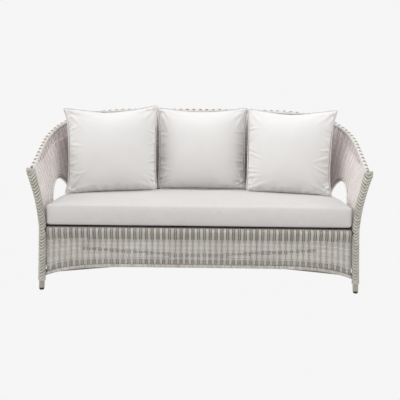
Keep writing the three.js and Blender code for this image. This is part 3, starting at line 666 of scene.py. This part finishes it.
def paintMaterial(name, color, edge):
    # satin powder coat with a faint orange peel
    look = paintLook
    material, tree, shader = newMaterial(name, color, look['roughness'], Metallic=look['metallic'])
    tint = ramp(tree, objectNoise(tree, look['tintScale']), (0.35, edge), (0.65, color))
    finishShader(tree, shader, tint, objectNoise(tree, look['peelScale'], 2), 0.12, look['depth'])
    return material


def clothMaterial(name, color, shade):
    # plain woven outdoor cloth: two crossed sets of fine threads
    look = clothLook
    material, tree, shader = newMaterial(name, color, look['roughness'], Sheen_Weight=0.25,
                                         Sheen_Roughness=0.5)
    weave = tree.nodes.new('ShaderNodeMath')
    weave.operation = 'ADD'
    place = objectPlace(tree)
    for number, axis in enumerate('XZ'):
        wave = addNode(tree, 'TexWave', place, Scale=look['threads'], Distortion=look['waver'], Detail=2)
        wave.bands_direction = axis
        tree.links.new(wave.outputs['Fac'], weave.inputs[number])
    tint = ramp(tree, objectNoise(tree, look['tintScale']), (0.3, shade), (0.65, color))
    finishShader(tree, shader, tint, weave.outputs['Value'], 0.10, look['depth'])
    return material


def rubberMaterial(name):
    material, tree, shader = newMaterial(name, (0.012, 0.012, 0.012), 0.55)
    tint = ramp(tree, objectNoise(tree, 60), (0.3, (0.008, 0.008, 0.008)), (0.7, (0.02, 0.019, 0.018)))
    finishShader(tree, shader, tint, objectNoise(tree, 500, 2), 0.2, 0.0004)
    return material


finishes = {
    # the strand's own whitewashed colour with a pink tint that is painted light on the inner faces of the
    # arms and back
    'wall': rattanMaterial('litPinkRattanWall', (0.20, 0.17, 0.155), (0.785, 0.70, 0.70), (0.92, 0.88, 0.875)),
    'rim': rattanMaterial('rattanRim', (0.32, 0.29, 0.27), (0.80, 0.76, 0.74), (0.90, 0.87, 0.855)),
    'apron': rattanMaterial('rattanApron', (0.21, 0.195, 0.16), (0.62, 0.60, 0.57), (0.82, 0.80, 0.765)),
    'braid': rattanMaterial('rattanBraid', (0.155, 0.15, 0.12), (0.41, 0.395, 0.36), (0.66, 0.64, 0.59)),
    'frame': paintMaterial('framePaint', (0.38, 0.335, 0.295), (0.335, 0.295, 0.255)),
    # a darker copy of the frame paint for the stretchers under the seat: painted shade
    'stretcher': paintMaterial('stretcherShadePaint', (0.20, 0.155, 0.125), (0.17, 0.13, 0.105)),
    # dark maroon paint of the seat rails and bearers: painted shade for the gap under the seat cushion
    'railShade': paintMaterial('railShadePaint', (0.115, 0.038, 0.042), (0.09, 0.032, 0.034)),
    # near-black paint of the seat deck: painted shade under the seat cushion
    'webbing': paintMaterial('webbing', (0.06, 0.04, 0.035), (0.045, 0.032, 0.028)),
    # dark paint of the rim tube under its wrap: painted shade showing between the turns
    'rimShade': paintMaterial('rimShadePaint', (0.11, 0.095, 0.08), (0.08, 0.07, 0.06)),
    'archRod': paintMaterial('archRodPaint', (0.40, 0.33, 0.31), (0.34, 0.28, 0.26)),
    'glide': rubberMaterial('glideRubber'),
    'cloth': clothMaterial('cushionCloth', (0.745, 0.73, 0.718), (0.715, 0.70, 0.688)),
    # a darker copy of the cushion cloth for the seat cushion: painted shade on its front face
    'shadedSeatCloth': clothMaterial('shadedSeatCloth', (0.585, 0.567, 0.555), (0.565, 0.547, 0.536)),
    'piping': clothMaterial('cushionPiping', (0.72, 0.705, 0.695), (0.68, 0.665, 0.655)),
}
print('materials ready')


# Plaited covers of the front legs, with a coil that closes each head.
postBraid = {
    'radius': 0.0172, 'thick': 0.0042, 'width': 0.0074, 'pitch': 0.0080, 'rise': 0.0180,
    'foot': 0.052, 'flareFrom': 0.47, 'flareTo': 0.612, 'flareGrow': 0.22, 'flarePower': 1.6,
    'overlap': 0.20, 'tuck': 0.0026, 'tuckFrom': 0.34, 'tuckReach': 0.5,
    'tones': (0.92, 0.3), 'toneSpread': 0.09,
    'bandLifts': (0.002, 0.0085), 'bandWidth': 0.0068, 'bandThick': 0.004, 'bandSwell': 0.0006,
    'head': 0.016, 'headSlope': 0.20, 'headShift': 0.0015, 'headWidth': 0.0064, 'coilTurns': 3.5,
    'coilThick': 0.0046, 'edgeDrops': (0.0015, 0.0065), 'edgeThick': 0.0052,
}


def postX(z):
    low = halfSeat + tub['legSplay'] * (1 - z / railHeight)
    up = clamp((z - railHeight) / (tub['armHeight'] - railHeight))
    return np.where(z < railHeight, low, halfSeat + tub['armFlare'] * up ** tub['flarePower'])


def postSwell(z):
    # the cover widens to its head, towards the seat
    b = postBraid
    return clamp((z - b['flareFrom']) / (b['flareTo'] - b['flareFrom'])) ** b['flarePower']


def aroundPost(side, z, angle, radius):
    # a point at an angle from the front of the post, and the way that it faces
    lean = (postX(z + 0.001) - postX(z - 0.001)) / 0.002 * side
    length = np.sqrt(1 + lean * lean)
    across = xyz(1 / length, 0.0, -lean / length)
    out = across * np.sin(angle)[:, None] + np.array([0.0, -1.0, 0.0]) * np.cos(angle)[:, None]
    x = side * (postX(z) - postBraid['headShift'] * postSwell(z))
    return xyz(x, frontY, z) + out * radius[:, None], out


def plaitPost(side):
    # herringbone: strands from both hands cross at the front and at the back of the post
    b = postBraid
    chance = np.random.default_rng(41 if side < 0 else 42)
    strands = []
    top = tub['armHeight'] + b['head']
    start = b['foot'] - 2 * b['rise']
    count = int((top + 0.03 - start) / b['pitch'])
    for hand in (-1, 1):
        for k in range(count):
            base = start + (k + (0.5 if hand > 0 else 0)) * b['pitch']
            turn = np.linspace(-b['overlap'], math.pi + b['overlap'], 34)
            z = base + 2 * b['rise'] * np.abs(turn) / math.pi
            tuck = clamp((b['tuckFrom'] - np.minimum(turn, math.pi - turn)) / b['tuckReach'])
            swell = postSwell(z)
            radius = b['radius'] * (1 + b['flareGrow'] * swell) - b['tuck'] * tuck
            roof = top + b['headSlope'] * side * hand * np.sin(turn) * radius
            keep = (z > b['foot']) & (z < roof - 0.003)
            for a, e in lineRuns(keep):
                if e - a < 3:
                    continue
                points, out = aroundPost(side, z[a:e], hand * turn[a:e], radius[a:e])
                width = b['width'] * (1 + b['flareGrow'] * swell[a:e])
                tone = b['tones'][k % 2] + chance.normal(0, b['toneSpread'])
                strands.append({'points': points, 'out': out, 'width': width, 'thick': b['thick'],
                                'tone': tone, 'seed': chance.random() * streakSpan})
    ring = np.linspace(0, 2 * math.pi, 33)[:-1]
    for lift in b['bandLifts']:
        z = np.full_like(ring, b['foot'] + lift)
        points, out = aroundPost(side, z, ring, np.full_like(ring, b['radius'] + b['bandSwell']))
        strands.append({'points': points, 'out': out, 'width': b['bandWidth'], 'thick': b['bandThick'],
                        'tone': 0.7, 'closed': True})
    # the head is closed by a coil that slopes down to the inside, with an edge of two rounds
    reach = b['radius'] * (1 + b['flareGrow'])
    middle = np.array([side * (postX(np.array(tub['armHeight'])) - b['headShift']), frontY, top])

    def onHead(turn, reach):
        x = np.cos(turn) * reach
        return xyz(x, np.sin(turn) * reach, x * side * b['headSlope'])
    turn = np.linspace(0, 2 * b['coilTurns'] * math.pi, 170)
    coil = onHead(turn, reach * (1 - turn / turn[-1]))
    roof = np.array([-side * b['headSlope'], 0.0, 1.0]) / math.hypot(1, b['headSlope'])
    strands.append({'points': middle + coil, 'out': np.broadcast_to(roof, coil.shape),
                    'width': b['headWidth'], 'thick': b['coilThick'], 'tone': 0.75})
    away = xyz(np.cos(ring), np.sin(ring), 0.0)
    for drop in b['edgeDrops']:
        strands.append({'points': middle + onHead(ring, reach) - [0, 0, drop], 'out': away,
                        'width': b['headWidth'], 'thick': b['edgeThick'], 'tone': 0.7, 'closed': True})
    piece = strandMesh(f'postPlait{sideName(side).title()}', strands, sides=6)
    dress(piece, 'frame', finishes['braid'])
    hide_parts(f'front_leg_braid_{sideName(side)}')


# Strand wound round the rim, the lower rails and the middle of the stretchers.
rimStrand = {
    'radius': 0.0098, 'thick': 0.0028, 'fill': 1.06, 'tone': 0.93, 'steps': 14, 'ends': 0.003,
    'group': 5, 'darkFrom': 3,          # of each group of turns, those from this one on are dark
    'narrowAt': 2.0, 'narrowShare': 0.3, 'darkAt': 2.3, 'darkLean': 0.9, 'darkLeast': 0.35,
}
hemStrand = {'radius': 0.0066, 'pitch': 0.0078, 'steps': 10, 'thick': 0.0024, 'fill': 0.96, 'tone': 0.5}


def wind(points, seed, radius, pitch, steps, thick, fill, tone, narrow=None):
    # one strand wound closely round a tube; narrow gives its width's share by turn and by angle
    chance = np.random.default_rng(seed)
    length = lengthAlong(points)
    turns = int(length[-1] / pitch)
    number = np.arange(turns * steps + 1)
    place = np.linspace(0, length[-1], len(number))
    centre = xyz(*(np.interp(place, length, points[:, k]) for k in range(3)))
    along = unit(np.gradient(centre, axis=0))
    side = unit(np.cross(along, np.array([0.0, 0.0, 1.0])))
    turn, angle = number // steps, number / steps * 2 * math.pi
    out = side * np.cos(angle)[:, None] + np.cross(side, along) * np.sin(angle)[:, None]
    each = chance.normal(0, 0.09, turns + 1)
    width = np.full(len(place), pitch * fill)
    if narrow is not None:
        width = width * narrow(turn, angle)
    ends = np.clip(np.minimum(number, len(number) - 1 - number) / steps, 0.2, 1)
    return {'points': centre + out * (radius + thick * 0.5), 'out': out, 'width': width * ends,
            'thick': thick, 'tone': tone + each[turn], 'seed': chance.random() * streakSpan}


def rimWrap():
    # close turns over the rim; between the stakes two of them let the tube show on its outer side. Those two
    # are darkened on that side and the tube is painted dark: painted shade for the gaps
    r = rimStrand
    points = rimPoints(np.linspace(r['ends'], 1 - r['ends'], 400))

    def narrow(turn, angle):
        outside = clamp((np.cos(angle - r['narrowAt']) - 0.35) * 3)
        return np.where(turn % r['group'] >= r['darkFrom'], 1 - r['narrowShare'] * outside, 1.0)
    length = np.linalg.norm(np.diff(points, axis=0), axis=1).sum()
    pitch = length / (wallWeave['stakes'] * r['group'])
    strand = wind(points, 51, r['radius'], pitch, r['steps'], r['thick'], r['fill'], r['tone'], narrow)
    place = np.arange(len(strand['points']))
    turn, angle = place // r['steps'], place / r['steps'] * 2 * math.pi
    back = np.sin(math.pi * place / len(place)) ** 2
    outside = clamp((np.cos(angle - r['darkAt'] + r['darkLean'] * back) - 0.3) * 3)
    # painted shade: the narrowed turns darken on their outer side
    shadedTone = strand['tone'] * (1 - np.maximum(outside, r['darkLeast']))
    strand['tone'] = np.where(turn % r['group'] >= r['darkFrom'], shadedTone, strand['tone'])
    piece = strandMesh('rimWrap', [strand])
    dress(piece, 'frame', finishes['rim'])


def hemWraps():
    # the lower rails are wound with strand
    t = np.linspace(0.0125, 0.9875, 260)
    edge = frontEdge(t)
    half = halfSeat + tub['legSplay'] * (1 - edge / railHeight)
    lines = [('hemFront', xyz((2 * t - 1) * half, frontY, edge), 61)]
    for name, start, end, seed, gap, samples in (
            ('hemLeft', 0, rearLeg, 62, 0.03, 200),
            ('hemRight', 1 - rearLeg, 1, 63, 0.03, 200),
            ('hemRear', rearLeg, 1 - rearLeg, 64, 0.012, 300)):
        t = np.linspace(gap, 1 - gap, samples)
        line = skirtPoints(start + (end - start) * t, apronEdge(2 * t - 1, tub['sideApronCrown']))
        lines.append((name, line, seed))
    for name, line, seed in lines:
        piece = strandMesh(name, [wind(line, seed, **hemStrand)])
        dress(piece, 'frame', finishes['apron'])


binding = {'turns': 9, 'steps': 24, 'thick': 0.0036, 'inset': 0.0022, 'endInset': 0.004, 'fill': 0.95}


def stretcherBinding():
    b = binding
    low, high = (np.array(v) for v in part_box('stretcher_binding'))
    middle = (low + high) / 2
    apart = (high[1] - low[1] - (high[2] - low[2])) / 2
    radius = (high[2] - low[2]) / 2 - b['inset']
    angle = np.arange(b['turns'] * b['steps'] + 1) / b['steps'] * 2 * math.pi
    x = np.linspace(low[0] + b['endInset'], high[0] - b['endInset'], len(angle))
    y = middle[1] + np.sign(np.cos(angle)) * apart * np.minimum(1, np.abs(np.cos(angle)) * 4)
    out = xyz(0.0, np.cos(angle), np.sin(angle))
    strand = {'points': out * radius + xyz(x, y, middle[2]), 'out': out, 'thick': b['thick'],
              'width': (high[0] - low[0]) / b['turns'] * b['fill'], 'tone': 0.6}
    piece = strandMesh('stretcherBinding', [strand], sides=6)
    dress(piece, 'frame', finishes['braid'])
    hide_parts('stretcher_binding')


# The frame's own nodes keep their shape and get their finish, by how their names start.
nodeFinishes = (
    # the seat rails, bearers and deck, the top rail and the stretchers take dark paints that are painted
    # shade
    ('glide', 'glide'), ('seat_bearer', 'railShade'), ('seat_rail', 'railShade'), ('top_rail', 'rimShade'),
    ('arch_rod', 'archRod'), ('stretcher', 'stretcher'), ('seat_deck', 'webbing'),
    ('back_cushion', 'cloth'), ('seat_cushion', 'cloth'), ('', 'frame'),
)


def finishNodes():
    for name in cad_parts:
        node = bpy.data.objects.get(name)
        if node is None:
            continue
        # the bent tubes read as round, with their ends still crisp
        smoothFaces(node)
        node.data.set_sharp_from_angle(angle=math.radians(40))
        paint(node, finishes[next(finish for start, finish in nodeFinishes if name.startswith(start))])


# Loose cushions, blown up as cloth between seams that keep their line.
clothSettings = {
    'quality': 6, 'mass': 0.25, 'tension_stiffness': 12, 'compression_stiffness': 12, 'shear_stiffness': 6,
    'bending_stiffness': 0.4, 'tension_damping': 12, 'air_damping': 3, 'use_pressure': True,
    'vertex_group_mass': 'seam', 'pin_stiffness': 20,
}


def blowUp(piece, pinned, look):
    # pinned: a share for each point, 1 on a seam; growth: how much more cloth there is than seam
    start = pointsOf(piece)
    group = piece.vertex_groups.new(name='seam')
    for index in np.flatnonzero(pinned > 0):
        group.add([int(index)], float(pinned[index]), 'REPLACE')
    activate(piece)
    bpy.ops.object.modifier_add(type='CLOTH')
    cloth = piece.modifiers[-1]
    for name, value in clothSettings.items():
        setattr(cloth.settings, name, value)
    cloth.settings.uniform_pressure_force = look['pressure']
    cloth.settings.shrink_min = -look['growth']
    cloth.settings.effector_weights.gravity = 0
    cloth.point_cache.frame_start = 1
    cloth.point_cache.frame_end = look['frames']
    for number in range(1, look['frames'] + 1):
        bpy.context.scene.frame_set(number)
    bpy.ops.object.modifier_apply(modifier=cloth.name)
    bpy.context.scene.frame_set(1)
    step = pointsOf(piece) - start
    length = np.linalg.norm(step, axis=1, keepdims=True)
    limit = look['cap'] * np.tanh(length / look['cap']) / np.maximum(length, 1e-9)
    setPoints(piece, start + step * limit)
    piece.vertex_groups.clear()


def subdivide(piece):
    modify(piece, 'SUBSURF', levels=1, render_levels=1)
    smoothFaces(piece)
    piece.data.update()


def meshPiece(name, verts, faces):
    mesh = bpy.data.meshes.new(name)
    mesh.from_pydata(verts, [], faces)
    mesh.update()
    return linked(name, mesh)


def roundLoop(name, points, radius):
    # a closed round cord, with its cross-section kept from turning
    side, out = np.array([0.0, 0.0, 1.0]), []
    for direction in unit(np.roll(points, -1, 0) - np.roll(points, 1, 0)):
        side = unit(side - direction * (side @ direction))
        out.append(side)
    strand = {'points': points, 'out': np.array(out), 'width': 2 * radius, 'thick': 2 * radius,
              'tone': 0.6, 'closed': True}
    return strandMesh(name, [strand], sides=8)


backCushion = {
    'width': 1.616 * 0.3218, 'height': 0.488, 'front': 0.092, 'rear': 0.058, 'edge': 0.006, 'shrink': 0.012,
    'draw': 0.020, 'footDraw': 0.004, 'taperShare': 0.02, 'tilt': 12, 'turn': 18, 'lift': 0.0066,
    'cells': 64, 'earPower': 4, 'blunt': 0.009, 'bluntPower': 14, 'swellAcross': 0.62, 'swellUp': 0.5,
    'ripple': 0.0012, 'pipingRadius': 0.0030, 'pipingCells': 40,
    'pressure': 3.5, 'growth': 0.035, 'frames': 22, 'cap': 0.024,
}
cushionCorners = ((-1, -1), (1, -1), (-1, 1), (1, 1))   # across and up
backAnchor = {}     # where each cushion's foot stands, found from the frame

# How far the corners of each cushion lie from an even square: foot left, foot right, head left, head right.
cornerShift = {
    'left': ((-0.020, -0.008), (0.008, -0.002), (-0.004, -0.006), (0.036, 0.013)),
    'middle': ((-0.002, -0.002), (0.020, -0.004), (-0.001, -0.001), (0.022, 0.003)),
    'right': ((0.010, -0.004), (0.002, -0.008), (-0.009, -0.002), (-0.002, -0.003)),
}
# How far the two sides and the head of each are drawn in between their corners.
sideDraw = {'left': (0.034, 0.016, 0.032), 'middle': (0.014, 0.020, 0.026), 'right': (0.008, 0.031, 0.028)}


def seamLine(u, v, grow=0.0, name=None):
    # across and up along a cushion from -1 to 1; without a name, the even shape of the frame's own cushion
    c = backCushion
    taper = 1 - c['taperShare'] * (1 - v) / 2
    half = c['width'] * taper / 2 + grow
    inLeft, inRight, head = sideDraw[name] if name else (c['draw'],) * 3
    ears = 1 - np.abs(v) ** (c['earPower'] if name else 2)
    x = u * half + (inLeft * (1 - u) - inRight * (1 + u)) / 2 * ears
    rise = c['footDraw'] + (head - c['footDraw']) * (1 + v) / 2
    z = v * (c['height'] / 2 + grow - rise * (1 - u * u))
    if name:
        for (dx, dz), (a, b) in zip(cornerShift[name], cushionCorners):
            share = (1 + a * u) * (1 + b * v) / 4
            x, z = x + dx * share, z + dz * share
        blunt = c['blunt'] * np.abs(u * v) ** c['bluntPower']
        x, z = x - np.sign(u) * blunt, z - np.sign(v) * blunt
    return x, z


def placeBack(points, name):
    # tilted back and turned inwards as the frame's own cushion is, then set where that one is
    c = backCushion
    tilt = math.radians(c['tilt'])
    turn = math.radians({'left': c['turn'], 'middle': 0, 'right': -c['turn']}[name])
    x, y, z = points[:, 0], points[:, 1], points[:, 2] + c['height'] / 2 + c['lift']
    y, z = y * math.cos(tilt) + z * math.sin(tilt), z * math.cos(tilt) - y * math.sin(tilt)
    x, y = x * math.cos(turn) - y * math.sin(turn), x * math.sin(turn) + y * math.cos(turn)
    return np.stack([x, y, z], 1) + np.array(backAnchor[name])


def bunched(steps, reach):
    # from -1 to 1 in steps that grow smaller towards both ends
    return np.sin(steps * math.pi / 2 * reach) / math.sin(math.pi / 2 * reach)


def cushionGrid(name):
    c = backCushion
    cells = c['cells']
    value = bunched(np.arange(cells + 1) / cells * 2 - 1, 0.86)
    verts, faces, pinned = [], [], []
    index = {}
    for side, depth in ((-1, c['front']), (1, c['rear'])):
        for i, u in enumerate(value):
            for j, v in enumerate(value):
                edge = i in (0, cells) or j in (0, cells)
                if edge and side == 1:
                    index[side, i, j] = index[-1, i, j]
                    continue
                x, z = seamLine(u, v, name=name)
                swell = max(0, 1 - u * u) ** c['swellAcross'] * max(0, 1 - v * v) ** c['swellUp']
                y = 0 if edge else side * (c['edge'] / 2 + (depth - c['shrink']) * swell)
                index[side, i, j] = len(verts)
                verts.append((x, y, z))
                pinned.append(1.0 if edge else 0.0)
        for i in range(cells):
            for j in range(cells):
                quad = [index[side, i, j], index[side, i + 1, j],
                        index[side, i + 1, j + 1], index[side, i, j + 1]]
                faces.append(quad if side == -1 else quad[::-1])
    return np.array(verts), faces, np.array(pinned)


def crease(across, along, start, reach):
    # one ridge with a hollow on each side, from a seam inwards
    ridge = np.exp(-across ** 2) - 0.55 * (np.exp(-(across - 1.6) ** 2) + np.exp(-(across + 1.6) ** 2))
    return ridge * clamp(along / start) * np.exp(-(along / reach) ** 2)


puckers = {
    'spots': (-0.205, -0.168, -0.128, -0.084, -0.038, 0.022, 0.095), 'stray': 0.011, 'slant': (-0.5, 0.5),
    'wide': (0.006, 0.009), 'high': (0.004, 0.009), 'start': 0.012, 'reach': (0.025, 0.060),
}
cornerFolds = {
    'leans': (-0.42, 0.0, 0.42), 'stray': 0.06, 'wide': (0.008, 0.012), 'high': (0.004, 0.0085),
    'start': 0.03, 'reach': (0.06, 0.11),
}
filling = {'rounds': 60, 'pull': 0.5, 'edge': 0.015, 'blend': 0.05, 'headInset': 0.01}


def ownPlace(piece, name):
    # a cushion's points, and where they lie across, through and up it
    points = pointsOf(piece)
    origin = placeBack(np.zeros((1, 3)), name)
    axes = placeBack(np.eye(3), name) - origin
    x, y, z = ((points - origin) @ axes.T).T
    return points, axes, x, y, z, np.clip(z / (backCushion['height'] / 2), -1, 1)


def gather(piece, name, chance):
    # the cloth puckers along its side seams and folds in from its corners
    points, axes, x, y, z, v = ownPlace(piece, name)
    lift = np.zeros(len(points))
    for side in (-1, 1):
        edge, _ = seamLine(side, v, name=name)
        inside = np.clip((edge - x) * side, 0, None)
        for spot in puckers['spots']:
            middle = spot + chance.normal(0, puckers['stray'])
            slant, wide = chance.uniform(*puckers['slant']), chance.uniform(*puckers['wide'])
            lift += chance.uniform(*puckers['high']) * crease(
                (z - middle - slant * inside) / wide, inside, puckers['start'],
                chance.uniform(*puckers['reach']))
    for a, b in cushionCorners:
        cornerX, cornerZ = seamLine(a, b, name=name)
        for lean in cornerFolds['leans']:
            angle = math.atan2(-cornerZ, -cornerX) + lean + chance.normal(0, cornerFolds['stray'])
            along = (x - cornerX) * math.cos(angle) + (z - cornerZ) * math.sin(angle)
            across = (z - cornerZ) * math.cos(angle) - (x - cornerX) * math.sin(angle)
            lift += chance.uniform(*cornerFolds['high']) * crease(
                across / chance.uniform(*cornerFolds['wide']), np.clip(along, 0, None),
                cornerFolds['start'], chance.uniform(*cornerFolds['reach']))
    off = np.sign(y) * clamp(np.abs(y) / 0.004) * lift      # none on the seam itself
    setPoints(piece, points + axes[1] * off[:, None])


def settle(piece, name):
    # away from the seams the filling keeps the cloth smooth
    f = filling
    points, _, x, _, z, v = ownPlace(piece, name)
    low, high = (seamLine(side, v, name=name)[0] for side in (-1, 1))
    inside = np.minimum(np.minimum(x - low, high - x), backCushion['height'] / 2 - np.abs(z) - f['headInset'])
    weight = f['pull'] * clamp((inside - f['edge']) / f['blend'])[:, None]
    pairs = np.empty(len(piece.data.edges) * 2, int)
    piece.data.edges.foreach_get('vertices', pairs)
    a, b = pairs.reshape(-1, 2).T
    ends, others = np.concatenate([a, b]), np.concatenate([b, a])
    count = np.bincount(ends, minlength=len(points))[:, None]
    for number in range(f['rounds']):
        mean = np.stack([np.bincount(ends, points[others, k], len(points)) for k in range(3)], 1) / count
        points = points + (mean - points) * weight
    setPoints(piece, points)


def backPad(name, seed):
    c = backCushion
    verts, faces, pinned = cushionGrid(name)
    chance = np.random.default_rng(seed)
    free = pinned == 0
    verts[free, 1] += chance.normal(0, c['ripple'], free.sum())
    piece = meshPiece(f'backCushion{name.title()}', placeBack(verts, name).tolist(), faces)
    blowUp(piece, pinned, c)
    settle(piece, name)
    subdivide(piece)
    gather(piece, name, chance)
    body = f'back_cushion_{name}'
    dress(piece, body, finishes['cloth'])
    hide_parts(body)
    line, corners = [], ((-1, -1), (1, -1), (1, 1), (-1, 1))
    for (u0, v0), (u1, v1) in zip(corners, corners[1:] + corners[:1]):
        for t in bunched(np.arange(c['pipingCells']) / c['pipingCells'] * 2 - 1, 0.96) * 0.5 + 0.5:
            x, z = seamLine(u0 + (u1 - u0) * t, v0 + (v1 - v0) * t, c['pipingRadius'] * 1.1, name)
            line.append((x, 0, z))
    cord = roundLoop(f'backPiping{name.title()}', placeBack(np.array(line), name), c['pipingRadius'])
    dress(cord, body, finishes['piping'])
    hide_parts(f'back_cushion_piping_{name}')
    print('back cushion', name)


def findAnchor(name):
    # the foot of each cushion's seam, from the box of the frame's own cushion
    c = backCushion
    place = bunched(np.arange(13) / 12 * 2 - 1, 1)
    verts = []
    for side, depth in ((-1, c['front']), (1, c['rear'])):
        for u in place:
            for v in place:
                x, z = seamLine(u, v)
                swell = math.sqrt(max(0, (1 - u * u) * (1 - v * v))) ** 0.9
                verts.append((x, side * (c['edge'] / 2 + depth * swell), z))
    backAnchor[name] = (0, 0, 0)
    loose = placeBack(np.array(verts), name)
    low, high = (np.array(v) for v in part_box(f'back_cushion_{name}'))
    backAnchor[name] = tuple(((low - loose.min(0)) + (high - loose.max(0))) / 2)


seatCushion = {
    'inset': 0.0165, 'front': -0.012, 'frontRadius': 0.018, 'thickness': 0.113, 'crown': 0.007,
    'voxel': 0.0104, 'pressure': 2.2, 'growth': 0.006, 'frames': 14, 'cap': 0.008, 'shrink': 0.004,
    'wallSteps': 150, 'frontSteps': 90, 'cornerSteps': 8, 'wallEnd': 0.004,
    'seamReach': 0.012, 'seamFoot': 0.014, 'seamHead': 0.008, 'base': 0.006,
}


def seatOutline(inset):
    # counted from the left along the walls, round the front corners and along the front
    c = seatCushion
    front = frontY + c['front'] + inset
    radius = c['frontRadius'] - inset
    share = np.linspace(0, 1, c['wallSteps'])
    wall = np.stack(onLine(seatLine, share), 1) - outward(share) * (c['inset'] + inset)
    wall = wall[wall[:, 1] > front + radius + c['wallEnd']]
    half = halfSeat - c['inset'] - inset
    turn = np.linspace(0, math.pi / 2, c['cornerSteps'])
    corner = np.stack([half - radius * (1 - np.cos(turn)), front + radius * (1 - np.sin(turn))], 1)
    x = np.linspace(corner[-1, 0], -corner[-1, 0], c['frontSteps'])[1:-1]
    return np.concatenate([wall, corner, np.stack([x, np.full_like(x, front)], 1), corner[::-1] * [-1, 1]])


def fromOutline(points, border):
    # how far each point lies from an outline, seen from above
    reach = np.full(len(points), 9.0)
    for a, b in zip(border, np.roll(border, -1, 0)):
        gap = b - a
        t = clamp(((points[:, :2] - a) @ gap) / (gap @ gap))
        reach = np.minimum(reach, np.hypot(*(points[:, :2] - a - t[:, None] * gap).T))
    return reach


def seatPad():
    c = seatCushion
    low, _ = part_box('seat_cushion')
    edge, crown, shrink = c['thickness'], c['crown'], c['shrink']
    # how far in from the outline, and how high: the base, the side and the crowned top
    profile = [(0.30, 0), (0.10, 0), (0.012, 0), (0.004, 0.003), (0.0, 0.010), (0.0, edge / 2),
               (0.0, edge - 0.010), (0.004, edge - 0.002), (0.014, edge + crown * 0.12),
               (0.09, edge + crown * 0.75), (0.2, edge + crown), (0.30, edge + crown)]
    border = seatOutline(shrink)
    centre = np.array([0, (border[:, 1].min() + border[:, 1].max()) / 2])
    reach = np.linalg.norm(border - centre, axis=1, keepdims=True)
    verts, faces = [], []
    for inside, height in profile:
        ring = centre + (border - centre) * np.maximum(1 - inside / reach, 0.1)
        z = low[2] + shrink + height * (edge + crown - 2 * shrink) / (edge + crown)
        verts += [(x, y, z) for x, y in ring]
    count, rings = len(border), len(profile)
    for r in range(rings - 1):
        for i in range(count):
            n = (i + 1) % count
            faces.append((r * count + i, (r + 1) * count + i, (r + 1) * count + n, r * count + n))
    faces.append(tuple(range(count)))
    faces.append(tuple(reversed(range((rings - 1) * count, rings * count))))
    piece = meshPiece('seatCushion', verts, faces)
    activate(piece)
    bpy.ops.object.mode_set(mode='EDIT')
    bpy.ops.mesh.select_all(action='SELECT')
    bpy.ops.mesh.quads_convert_to_tris()
    bpy.ops.mesh.normals_make_consistent(inside=False)
    bpy.ops.object.mode_set(mode='OBJECT')
    modify(piece, 'REMESH', mode='VOXEL', voxel_size=c['voxel'])
    points = pointsOf(piece)
    rise = points[:, 2] - low[2]
    onSeam = (fromOutline(points, border) < c['seamReach']) & (
        (rise < c['seamFoot']) | (rise > edge - c['seamHead']))
    blowUp(piece, (onSeam | (rise < c['base'])).astype(float), c)
    subdivide(piece)
    dress(piece, 'seat_cushion', finishes['shadedSeatCloth'])
    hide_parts('seat_cushion')
    print('seat cushion:', len(piece.data.polygons), 'faces')


# The camera stands level in front of the sofa, a little to the right; turns are in degrees.
photoCamera = {'lens': 61.97, 'place': (0.0415, -3.887, 1.0004), 'turn': 0.60, 'down': 8.43, 'roll': 0.54}
# Suns: how strong, how wide, and how they are turned about X and Y, in degrees.
lights = {
    'topLight': (1.5, 60, 9, -3),       # from above
    'leftLight': (1.1, 50, 10, -52),    # and over each arm
    'rightLight': (0.75, 50, 10, 52),
}
room = {'pale': (0.92,) * 3, 'dim': (0.36,) * 3, 'paleTo': 0.30, 'dimFrom': 0.50, 'floorGlow': 0.92}


def camera():
    c = photoCamera
    data = bpy.data.cameras.new('photoCamera')
    data.lens = c['lens']
    data.sensor_width = 36
    view = linked('photoCamera', data)
    view.location = c['place']
    turns = [Matrix.Rotation(math.radians(angle), 3, axis) for angle, axis in (
        (c['turn'], 'Z'), (90 - c['down'], 'X'), (c['roll'], 'Z'))]
    view.rotation_euler = (turns[0] @ turns[1] @ turns[2]).to_euler()
    bpy.context.scene.camera = view


def studio():
    bpy.context.scene.view_settings.view_transform = 'Standard'
    bpy.ops.mesh.primitive_plane_add(size=24, location=(0, 2, 0))
    floor = bpy.context.object
    floor.name = 'floor'
    # the floor glows evenly, so that it meets the backdrop without an edge
    pale, _, shader = newMaterial('paleFloor', (0.0, 0.0, 0.0), 1.0, Specular_IOR_Level=0.0)
    shader.inputs['Emission Color'].default_value = (1, 1, 1, 1)
    shader.inputs['Emission Strength'].default_value = room['floorGlow']
    paint(floor, pale)
    world = bpy.data.worlds.new('studio')
    bpy.context.scene.world = world
    world.use_nodes = True
    tree = world.node_tree
    where = tree.nodes.new('ShaderNodeTexCoord')
    split = addNode(tree, 'SeparateXYZ', where.outputs['Generated'])
    sky = ramp(tree, split.outputs['Z'], (0.0, room['pale']), (room['paleTo'], room['pale']),
               (room['dimFrom'], room['dim']), (1.0, room['dim']))
    tree.links.new(sky, tree.nodes['Background'].inputs['Color'])
    tree.nodes['Background'].inputs['Strength'].default_value = 1.0
    for name, (energy, wide, turnX, turnY) in lights.items():
        bpy.ops.object.light_add(type='SUN', location=(0, 0, 4))
        lamp = bpy.context.object
        lamp.name = name
        lamp.data.energy = energy
        lamp.data.angle = math.radians(wide)
        lamp.rotation_euler = (math.radians(turnX), math.radians(turnY), 0)


camera()
studio()
finishNodes()
print('studio and frame ready')
for side in (-1, 1):
    armWeave(side)
backWeave()
aprons()
for side in (-1, 1):
    plaitPost(side)
rimWrap()
hemWraps()
stretcherBinding()
print('weave done')
for name, seed in (('left', 31), ('middle', 32), ('right', 33)):
    findAnchor(name)
    backPad(name, seed)
seatPad()
